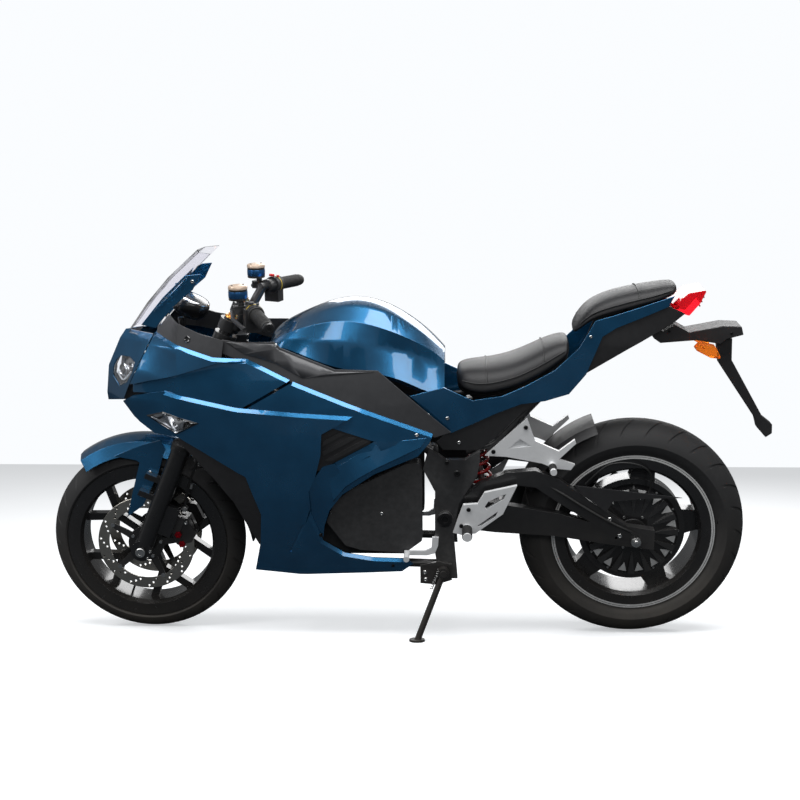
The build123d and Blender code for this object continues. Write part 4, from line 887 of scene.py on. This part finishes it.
def makeCaliperTrim():
    # The red flower bolts, the bridge bolts, the hose unions and the hoses up the legs
    reds, silvers, unions, hoses = newMeshes(4)
    for side in (-1, 1):
        for x, z in caliperTrim["flowers"]:
            where, outward = surfaceAt("front_calipers", x, z, side)
            if where:
                addTurned(reds, [(0.01, 2.5), (4.5, 2.5), (5, 5), (8.5, 4.4), (9.5, 2), (9.5, -0.5)], where,
                          outward, 24)
                for k in range(caliperTrim["petals"]):
                    a = 2 * math.pi * k / caliperTrim["petals"]
                    petal = where + Vector((math.cos(a), 0, math.sin(a))) * caliperTrim["petalCircle"]
                    addBar(reds, petal - outward * 0.5, petal + outward * 4.2, 2.6, 2.0, 12)
        for x, z in caliperTrim["bolts"]:
            boltOnto(silvers, "front_calipers", x, z, side, 5.5, 4.5)
        run = [sided(point, side) for point in caliperTrim["hose"]]
        half = Vector((0, side * 8, 0))
        addBar(unions, run[0] - half, run[0] + half, 7.5, sides=16)
        addBolt(unions, run[0] + half, (0, side, 0), 6, 5, socket=False)
        addHose(hoses, run, caliperTrim["hoseRadius"])
        for share in caliperTrim["clips"]:
            low, high = (sided(point, side) for point in caliperTrim["clipLine"])
            where = low.lerp(high, share)
            addBar(unions, where - Vector((2, 0, 7)), where + Vector((2, 0, 7)), 5.4, sides=12)
    makePiece("caliperFlowerBolts", reds, "redAnodised", "steering")
    makePiece("caliperBolts", silvers, "brightSteel", "steering")
    makePiece("hoseUnions", unions, "satinSteel", "steering")
    makePiece("frontBrakeHoses", hoses, "hoseRubber", "steering", smooth=60)


forkTrim = {
    "legY": 105, "axleY": 138.4, "pinchY": 128, "pinchX": 24, "pinchUp": (10, -12),
    "axle": ((0.01, 1.5), (7, 1.5), (7.4, 4), (12.6, 4), (14, 2.6), (14, -0.5)),
    "seal": ((21, 330), (29.6, 330), (30.4, 336), (29.4, 342), (24, 345), (20.6, 352), (20.2, 352)),
    "cap": ((20.4, 735), (19, 739), (13, 740.5), (12.5, 747), (8, 747.5), (7.5, 752), (0.01, 752)),
    "fenderBolts": ((-674, 500), (-703, 432)),
}


def makeForkTrim():
    # Axle bolts, pinch bolts, dust seals, fork caps and the adjusters on top
    silver, seals, caps = newMeshes(3)
    forkToBike = rowToBike @ forkToRow
    for side in (-1, 1):
        outward = (0, side, 0)
        addTurned(silver, forkTrim["axle"], (frontAxle.x, side * forkTrim["axleY"], frontAxle.z), outward, 28)
        for up in forkTrim["pinchUp"]:
            where = forkToBike @ Vector((forkTrim["pinchX"], side * forkTrim["pinchY"], up))
            addBolt(silver, where, outward, 4.6, 3.5)
        low, high = (forkToBike @ Vector((0, side * forkTrim["legY"], up)) for up in (0, 100))
        addTurned(seals, forkTrim["seal"], low, high - low, 40)
        addTurned(caps, forkTrim["cap"], low, high - low, 36)
        for x, z in forkTrim["fenderBolts"]:
            boltOnto(silver, "front_fender", x, z, side, 5.6, 3.4)
    makePiece("forkBolts", silver, "brightSteel", "steering")
    makePiece("dustSeals", seals, "hoseRubber", "steering", smooth=50)
    makePiece("forkCaps", caps, "goldAnodised", "steering")


makeSpring()
makeCaliperTrim()
makeForkTrim()
print("suspension is dressed")

# Seats: each row has its X, the heights of the crown and the edge, and half the width
seatShapes = {
    "rider": {"rows": ((198, 797, 770, 62), (214, 806, 760, 98), (240, 811, 752, 116), (280, 814, 752, 125),
                       (320, 820, 762, 127), (360, 832, 773, 126), (400, 850, 790, 121), (435, 868, 808, 117),
                       (465, 880, 828, 111), (492, 886, 847, 101), (509, 882, 861, 92)),
              "lip": 24, "base": 31.1, "seams": (3, 7)},
    "pillion": {"rows": ((518, 916, 908, 55), (534, 948, 922, 72), (560, 980, 948, 83), (600, 1001, 962, 88),
                         (640, 1014, 974, 90), (690, 1024, 988, 88), (740, 1032, 1001, 85),
                         (776, 1037, 1014, 73), (798, 1037, 1021, 60)),
                "lip": 20, "base": 14, "seams": (5,)},
    "piping": 1.5, "thread": 0.55, "stitch": 7,
}


def seatSection(x, top, edge, half, lip, base):
    # The right half from the crown to the base: a crowned top, a rounded shoulder and a tucked side
    depth = top - edge
    side = [(half * 0.34, top - depth * 0.03), (half * 0.66, top - depth * 0.12),
            (half * 0.86, top - depth * 0.34), (half * 0.95, top - depth * 0.62),
            (half - 0.5, edge + depth * 0.12), (half - 1, edge - 1), (half - lip * 0.5, edge - 3),
            (half - lip, edge - 5), (half - lip, edge - base)]
    return [(x, 0, top)] + [(x, y, z) for y, z in side] + [(x, -y, z) for y, z in reversed(side)]


def makeSeat(kind, node):
    shape = seatShapes[kind]
    sections = [seatSection(*row, shape["lip"], shape["base"]) for row in shape["rows"]]
    bm, piping, stitches = newMeshes(3)
    addLoft(bm, sections)
    bmesh.ops.recalc_face_normals(bm, faces=bm.faces)
    cushion = makePiece(kind + "Cushion", bm, "seatVinyl", "chassis", (node,), subsurf=2, smooth=180)
    # Piping along both shoulders and the cross seams, and stitches beside the shoulders' piping
    shoulders = [[section[i] for section in sections[1:-1]] for i in (4, len(sections[0]) - 4)]
    seams = [[sections[k][i] for i in range(-4, 5)] for k in shape["seams"]]
    for run in shoulders + seams:
        lifted = [Vector(p) + Vector((0, 0.015 * p[1], 1.2)) for p in run]
        addHose(piping, lifted, seatShapes["piping"], 6, 2)
    makePiece(kind + "Piping", piping, "pipingVinyl", "chassis", smooth=60)
    for run in shoulders:
        for start, end in zip(run, run[1:]):
            a, b = Vector(start), Vector(end)
            inward = Vector((0, -6 if a.y > 0 else 6, 1.6))
            steps = max(2, int((b - a).length / seatShapes["stitch"]))
            for k in range(steps):
                p, q = (a.lerp(b, (k + share) / steps) + inward for share in (0.2, 0.75))
                addBar(stitches, p, q, seatShapes["thread"], sides=6)
    makePiece(kind + "Stitches", stitches, "threadGrey", "chassis")


makeSeat("rider", "rider_seat")
makeSeat("pillion", "pillion_seat")
print("seats are made")

# Lamps
lampShape = {
    "outline": ((-772, 774), (-751, 751), (-724, 769), (-704, 800), (-698, 825), (-714, 834), (-745, 831),
                (-769, 812)),
    "bowlDepth": 16, "eyes": ((-744, 797, 15), (-718, 812, 9)), "eyeDepth": 12,
    "bar": ((-764, 786), (-752, 764), (-733, 774), (-715, 797)), "barDepth": 9, "barRadius": 2.4,
}


def makeHeadlamps():
    # Behind each lens: a gloss black bowl, a projector in a bright ring and a light bar
    bowls, rings, lenses, bars = newMeshes(4)
    for side in (-1, 1):
        addPatch(bowls, "front_lamps", lampShape["outline"], side, -lampShape["bowlDepth"])
        for x, z, r in lampShape["eyes"]:
            where, outward = surfaceAt("front_lamps", x, z, side)
            if where:
                seat = where - outward * lampShape["eyeDepth"]
                ring = [(r, 0), (r + 2.5, 0), (r + 3.5, 3), (r + 1.5, 6), (r, 4), (r, 0)]
                addTurned(rings, ring, seat, outward, 36)
                lens = [(0.01, 6), (r * 0.5, 5), (r * 0.85, 2.6), (r, 0), (0.01, -1)]
                addTurned(lenses, lens, seat, outward, 36)
        found = [surfaceAt("front_lamps", x, z, side) for x, z in lampShape["bar"]]
        run = [where - outward * lampShape["barDepth"] for where, outward in found if where]
        if len(run) > 2:
            addHose(bars, run, lampShape["barRadius"])
    makePiece("lampBowls", bowls, "glossBlack", "chassis", thick=1.2)
    makePiece("lampRings", rings, "silverPlastic", "chassis")
    makePiece("lampProjectors", lenses, "lensClear", "chassis")
    makePiece("lampBars", bars, "lampWhite", "chassis", smooth=60)


markerOutline = ((-661, 687), (-607, 705), (-503, 681), (-570, 645))
markerLayers = {
    # share of the outline, lift off the fairing, thickness and look
    "markerFrames": (1.0, 0.1, 1.2, "glossBlack"),
    "markerInsides": (0.84, 1.4, 0.5, "silverPlastic"),
    "markerLenses": (0.9, 2.4, 1.6, "lensClear"),
}


def makeMarkerLamps():
    # Clear marker lamps let into the lower fairings, on a black frame with a bright inside
    middleX, middleZ = (sum(values) / len(markerOutline) for values in zip(*markerOutline))
    for name, (share, lift, thick, look) in markerLayers.items():
        bm = bmesh.new()
        shrunk = [(middleX + (x - middleX) * share, middleZ + (z - middleZ) * share)
                  for x, z in markerOutline]
        for side in (-1, 1):
            addPatch(bm, "lower_fairings", shrunk, side, lift)
        makePiece(name, bm, look, "chassis", thick=thick)


tailShape = {"x": 858, "step": 5, "rows": (978, 990, 1002), "across": 9, "pitch": 11}


def makeTailInsides():
    # Rows of small lights behind the red lens
    bm = bmesh.new()
    for row, z in enumerate(tailShape["rows"]):
        for k in range(tailShape["across"]):
            y = (k - tailShape["across"] // 2) * tailShape["pitch"]
            addTurned(bm, [(0.01, 2.4), (2.6, 2), (3.6, 0), (3.6, -1)],
                      (tailShape["x"] + row * tailShape["step"], y, z), (1, 0, 0.5), 14)
    makePiece("tailLights", bm, "redGlow", "chassis")


makeHeadlamps()
makeMarkerLamps()
makeTailInsides()
print("lamps are made")

# Cockpit and bars
barShape = {"inner": (-363, 140, 997), "outer": (-284, 330, 981), "grip": 118, "ribs": 17, "ribPitch": 6.2,
            "keys": ((-8, 27, 8), (10, 24, 4)), "cup": (-383.8, 165.7, 1038.3)}


def makeBarTrim():
    # Ribbed grips with end flanges, bar plugs, switch keys, cups and their caps
    ribs, plugs, keys, reds, blues, caps, marks = newMeshes(7)
    for side in (-1, 1):
        inner, outer, cup = (sided(barShape[key], side) for key in ("inner", "outer", "cup"))
        along = (outer - inner).normalized()
        start = outer - along * barShape["grip"]
        for k in range(barShape["ribs"]):
            addTurned(ribs, [(16.8, -2.1), (18.2, -1.5), (18.2, 1.5), (16.8, 2.1)],
                      start + along * (8 + barShape["ribPitch"] * k), along, 28)
        addTurned(ribs, [(17, -2), (22, -2), (23.4, 0), (22, 2.4), (17, 3)], start + along * 3, along, 32)
        addTurned(plugs, [(14, 5.6), (15.5, 7), (15.5, 13), (13, 15.5), (6, 16), (5, 13.5), (0.01, 13.5)],
                  outer, along, 32)
        pod = outer - along * (barShape["grip"] + 18)
        for dx, dz, r in barShape["keys"]:
            addTurned(keys if side < 0 else reds, [(0.01, 4), (r * 0.8, 4), (r, 3), (r, -2)],
                      pod + Vector((dx, 0, dz)), (0, 0, 1), 20)
        addTurned(blues, [(25.1, -12), (25.7, -10), (25.7, 4), (25.1, 6)], cup, (0, 0, 1), 48)
        addTurned(caps, [(0.01, 21.4), (20, 21.4), (24.4, 20), (26, 17.5), (26, 12), (24.9, 11)], cup,
                  (0, 0, 1), 48)
        for k in (-1, 1):
            addBolt(keys, cup + Vector((k * 14, k * 9, 21.2)), (0, 0, 1), 2.8, 1.6)
        addTurned(marks, [(24.6, -1.2), (25.0, -1.2), (25.0, 1.2), (24.6, 1.2)], pod, along, 40)
    makePiece("gripRibs", ribs, "gripRubber", "steering", smooth=40)
    makePiece("barPlugs", plugs, "forkBlack", "steering")
    makePiece("switchKeys", keys, "trimGrey", "steering")
    makePiece("stopSwitch", reds, "redPlastic", "steering")
    makePiece("cupSleeves", blues, "blueAnodised", "steering")
    makePiece("cupCaps", caps, "capCream", "steering")
    makePiece("podBands", marks, "amberMark", "steering")


clusterShape = {
    "centre": (-543, 0, 982), "facing": (0.42, 0, 0.9), "blockHalf": 57, "blockLow": 937,
    "housing": ((0.01, -42), (34, -40), (47, -30), (53, -12), (53, 2), (49, 10), (44, 13.5), (0.01, 15)),
    "bezel": ((42, 13), (46.5, 14.5), (49.5, 12.6), (50.5, 9.5), (46, 8)),
    "screen": ((0.01, 18.4), (26, 17.4), (42.5, 14)),
}


def makeCluster():
    # The cockpit's panels, the instruments' round housing, and a chrome bezel round their screen
    panels = copyOfNode("cockpit")
    joinFlats(panels)
    block = []
    for face in panels.faces:
        at = rowToBike @ face.calc_center_median()
        if abs(at.y) < clusterShape["blockHalf"] and at.z > clusterShape["blockLow"]:
            block.append(face)
    bmesh.ops.delete(panels, geom=block, context="FACES")
    makeDressed("cockpitPanels", panels, "trimGrey", "cockpit", 1.2)
    for part, look in (("housing", "domeBlack"), ("bezel", "silverPlastic"), ("screen", "domeBlack")):
        bm = bmesh.new()
        addTurned(bm, clusterShape[part], clusterShape["centre"], clusterShape["facing"], 64)
        makePiece("cluster" + part.capitalize(), bm, look, "chassis", smooth=50)


screenStay = {"outline": ((-667, 936), (-603, 1012), (-540, 1072), (-497, 1076), (-519, 1033), (-579, 983),
                          (-627, 927)),
              "bolt": (-519, 94, 1056), "inner": 90, "outer": 94,
              "slot": ((-562, 948), (-540, 943), (-505, 925), (-528, 926)), "clip": (-532, 906)}


def makeScreenStays():
    # Blue stays behind the screen with their bolts, the panel's slot as a black sheet of painted shade, and its
    # clip
    stays, bolts, slotShadesAndClips = newMeshes(3)
    for side in (-1, 1):
        addPlate(stays, screenStay["outline"], side * screenStay["inner"], side * screenStay["outer"])
        addBolt(bolts, sided(screenStay["bolt"], side), (0, side, 0), 5, 3)
        # the slot is a black sheet laid on the panel: painted shade of an opening
        addPatch(slotShadesAndClips, "cockpit", screenStay["slot"], side, 0.3)
        where, outward = surfaceAt("cockpit", *screenStay["clip"], side)
        if where:
            addTurned(slotShadesAndClips, [(0.01, 1.5), (5, 1.5), (7.5, 2.6), (9, 1.2), (9, -0.5)], where, outward, 28)
    makePiece("screenStays", stays, "bluePaint", "chassis", bevel=1.0)
    makePiece("screenBolts", bolts, "brightSteel", "chassis")
    makePiece("cockpitSlotShadesAndClips", slotShadesAndClips, "glossBlack", "chassis")


flankBlade = {"upper": ((118, 638), (50, 632), (-22, 620), (-75, 592), (-122, 562), (-152, 520)),
              "lower": ((102, 612), (46, 588), (-16, 560), (-66, 532), (-106, 504), (-142, 458)),
              "proud": (3, 10, 13, 13, 11, 2)}


def makeFlankBlades():
    # The raised arm below each vent: its face slopes up, its lower edge is turned back under
    bm = bmesh.new()
    for side in (-1, 1):
        out, sections = Vector((0, side, 0)), []
        for upper, lower, proud in zip(flankBlade["upper"], flankBlade["lower"], flankBlade["proud"]):
            high, low = (surfaceAt("upper_fairings", *place, side)[0] for place in (upper, lower))
            if high and low:
                under = low + (low - high).normalized() * 6 - out * 2
                sections.append((high + out * 0.3, low + out * proud, under, high - out * 2))
        addLoft(bm, sections)
    makePiece("flankBlades", bm, "bluePaint", "chassis", smooth=24, bevel=1.2)


trimHighlightAndChin = {"outline": ((-428, 902), (-296, 896), (-280, 881), (-131, 821), (-24, 819), (-218, 806),
                        (-290, 845), (-373, 869)),
            "chin": ((-752, 706), (-672, 704), (-652, 768), (-732, 768)), "chinHalf": 30}


def makeTrimHighlightsAndChin():
    # A lighter grey sheet raised along the top of each tank side trim, a painted highlight where light falls on
    # it, and the panel behind the nose's chin
    highlightBands, chin = newMeshes(2)
    for side in (-1, 1):
        addPatch(highlightBands, "tank_side_trims", trimHighlightAndChin["outline"], side, 0.2)
    addPlate(chin, trimHighlightAndChin["chin"], -trimHighlightAndChin["chinHalf"], trimHighlightAndChin["chinHalf"])
    makePiece("trimHighlightBands", highlightBands, "trimSatin", "chassis", thick=1.3)
    makePiece("noseChin", chin, "trimBlack", "chassis", bevel=1.0)


makeBarTrim()
makeCluster()
makeScreenStays()
makeFlankBlades()
makeTrimHighlightsAndChin()
print("cockpit is made")

# Foot brackets, screws and small chassis parts
bracketOpening = {"outline": ((372, 622), (404, 600), (342, 594)), "from": 120, "to": 175}
screwHeads = {
    # node: x, z, head radius, head height, and 0 for bright steel or 1 for satin black
    "upper_fairings": ((90, 646, 5.0, 2.6, 0),),
    "tail_cowls": ((173, 684, 5.0, 2.6, 0), (560, 906, 4.2, 2.2, 0)),
    "tail_undertrays": ((205, 612, 5.0, 2.6, 0),),
    "tank_side_trims": ((-290, 893, 4.6, 2.4, 0),),
    "battery_side_covers": ((-38, 512, 5.0, 2.8, 0), (-10, 410, 5.0, 2.8, 0)),
    "lower_fairings": ((-180, 353, 5.2, 2.4, 1), (20, 252, 4.6, 2.2, 1), (-560, 690, 4.6, 2.2, 1)),
    "main_frame": ((200, 529, 9.0, 5.0, 1), (172, 560, 6.0, 4.0, 1), (170, 236, 7.0, 4.5, 0)),
    "swing_arm": ((655, 339, 6.5, 4.5, 0), (626, 388, 6.0, 4.0, 0)),
    "rear_guards": ((560, 445, 4.2, 2.6, 0),),
    "foot_rests": ((232, 428, 6.0, 4.0, 1), (212, 380, 6.0, 4.0, 1), (300, 585, 6.0, 4.0, 1),
                   (388, 655, 6.0, 4.0, 1)),
    "stand_bracket": ((110, 238, 6.0, 4.0, 0), (112, 216, 6.0, 4.0, 0)),
    "plate_carrier": ((780, 905, 4.0, 2.4, 1), (950, 900, 4.0, 2.4, 1)),
}


def makeFootRests():
    # The passenger brackets get their three-cornered opening
    cutter = bmesh.new()
    for side in (-1, 1):
        addPlate(cutter, bracketOpening["outline"], side * bracketOpening["from"], side * bracketOpening["to"])
    cutter.transform(bikeToRow)
    bm = carve(copyOfNode("foot_rests"), cutter)
    joinFlats(bm)
    makeDressed("footRestsCarved", bm, "castSilver", "foot_rests", 1.0)


def makeFasteners():
    heads = newMeshes(2)
    for node, rows in screwHeads.items():
        for x, z, radius, height, kind in rows:
            for side in (-1, 1):
                boltOnto(heads[kind], node, x, z, side, radius, height, facing=0.3)
    makePiece("brightScrews", heads[0], "brightSteel", "chassis")
    makePiece("darkScrews", heads[1], "satinBlack", "chassis")


chassisTrim = {
    "pivot": (167, 156, 397), "nutFrom": 126.5, "nutTo": 140,
    "riderPeg": {"x": 228, "y": 172, "z": 372, "ribs": 9, "pitch": 6.6, "steps": 24,
                 "rib": ((11.8, -2.4), (14.2, -1.8), (14.2, 1.8), (11.8, 2.4))},
    "passengerPeg": {"x": 462, "y": 150, "z": 548, "ribs": 5, "pitch": 8, "steps": 20,
                     "rib": ((8.8, -2.4), (11, -1.8), (11, 1.8), (8.8, 2.4))},
    "motorLead": ((712, -120, 331), (690, -134, 352), (640, -136, 374), (560, -134, 420), (480, -124, 470),
                  (400, -116, 512), (330, -108, 520)),
    "guardLead": ((560, -82, 476), (606, -82, 528), (650, -82, 541), (706, -82, 536), (742, -80, 512),
                  (746, -72, 470), (738, -66, 430)),
    "standSpring": {"low": (128, -176, 196), "high": (150, -172, 252), "radius": 4.2, "wire": 1.3,
                    "points": 72, "perTurn": 8},
}


def makeChassisTrim():
    # Pivot caps, axle nuts, peg rubbers, the leads and the stand's spring
    caps, nuts, rubbers, leads, spring = newMeshes(5)
    for side in (-1, 1):
        outward = (0, side, 0)
        addTurned(caps, [(0.01, 3.5), (9, 3.5), (10, 6), (19, 6), (22, 3), (22, -0.5)],
                  sided(chassisTrim["pivot"], side), outward, 40)
        nutFrom, nutTo = (rearAxle + Vector((0, side * chassisTrim[key], 0)) for key in ("nutFrom", "nutTo"))
        addBar(nuts, nutFrom, nutTo, 15, 14, 6)
        addTurned(nuts, [(8.2, 0), (8.2, 5), (6, 6.5), (0.01, 6.5)], nutTo, outward, 24)
        for peg in (chassisTrim["riderPeg"], chassisTrim["passengerPeg"]):
            for k in range(peg["ribs"]):
                where = (peg["x"], side * (peg["y"] + peg["pitch"] * k), peg["z"])
                addTurned(rubbers, peg["rib"], where, (0, 1, 0), peg["steps"])
    addHose(leads, chassisTrim["motorLead"], 4.2)
    addHose(leads, chassisTrim["guardLead"], 2.4)
    coil = chassisTrim["standSpring"]
    low, high = Vector(coil["low"]), Vector(coil["high"])
    axis = (high - low).normalized()
    flank = axis.cross(Vector((0, 1, 0))).normalized()
    addHose(spring, coilPoints(low, axis, flank, coil["radius"], (high - low).length, coil["points"],
                               coil["perTurn"]), coil["wire"], 3, 1)
    makePiece("pivotCaps", caps, "satinBlack", "chassis")
    makePiece("axleNuts", nuts, "brightSteel", "chassis")
    makePiece("pegRubbers", rubbers, "gripRubber", "chassis")
    makePiece("motorLead", leads, "hoseRubber", "chassis", smooth=60)
    makePiece("standSpring", spring, "satinSteel", "side_stand", smooth=60)


makeFootRests()
makeFasteners()
makeChassisTrim()
print("fasteners are made")

# Floor
floorLook = {"size": 5.1, "below": 0.0004, "tone": ((0.86, 0.87, 0.88), (0.90, 0.91, 0.92)),
             "mirrored": (0.05, 0.055, 0.06), "glow": (0.9, 0.92, 0.94), "glowStrength": 0.45,
             "rough": 0.06, "index": 1.07}


def addFloor():
    # The camera sees a pale floor, and what the bike mirrors is a darker one
    material, tree, shader = newMaterial("studioFloor")
    tone = addNode(tree, "Group", node_tree=skinGrain, Scale=40.0, Ripple=3.0).outputs["Tone"]
    pale = mixColour(tree, tone, *floorLook["tone"])
    seen = addNode(tree, "LightPath").outputs["Is Camera Ray"]
    fill(tree, shader, {"Base Color": mixColour(tree, seen, floorLook["mirrored"], pale),
                        "Roughness": floorLook["rough"], "IOR": floorLook["index"],
                        "Emission Color": mixColour(tree, seen, (0, 0, 0), floorLook["glow"]),
                        "Emission Strength": floorLook["glowStrength"]})
    bm = bmesh.new()
    bmesh.ops.create_grid(bm, x_segments=2, y_segments=2, size=floorLook["size"])
    bmesh.ops.translate(bm, verts=bm.verts, vec=(0, 0, -floorLook["below"]))
    floor = addToScene("floor", meshOf(bm, "floor"))
    floor.data.materials.append(material)


addFloor()
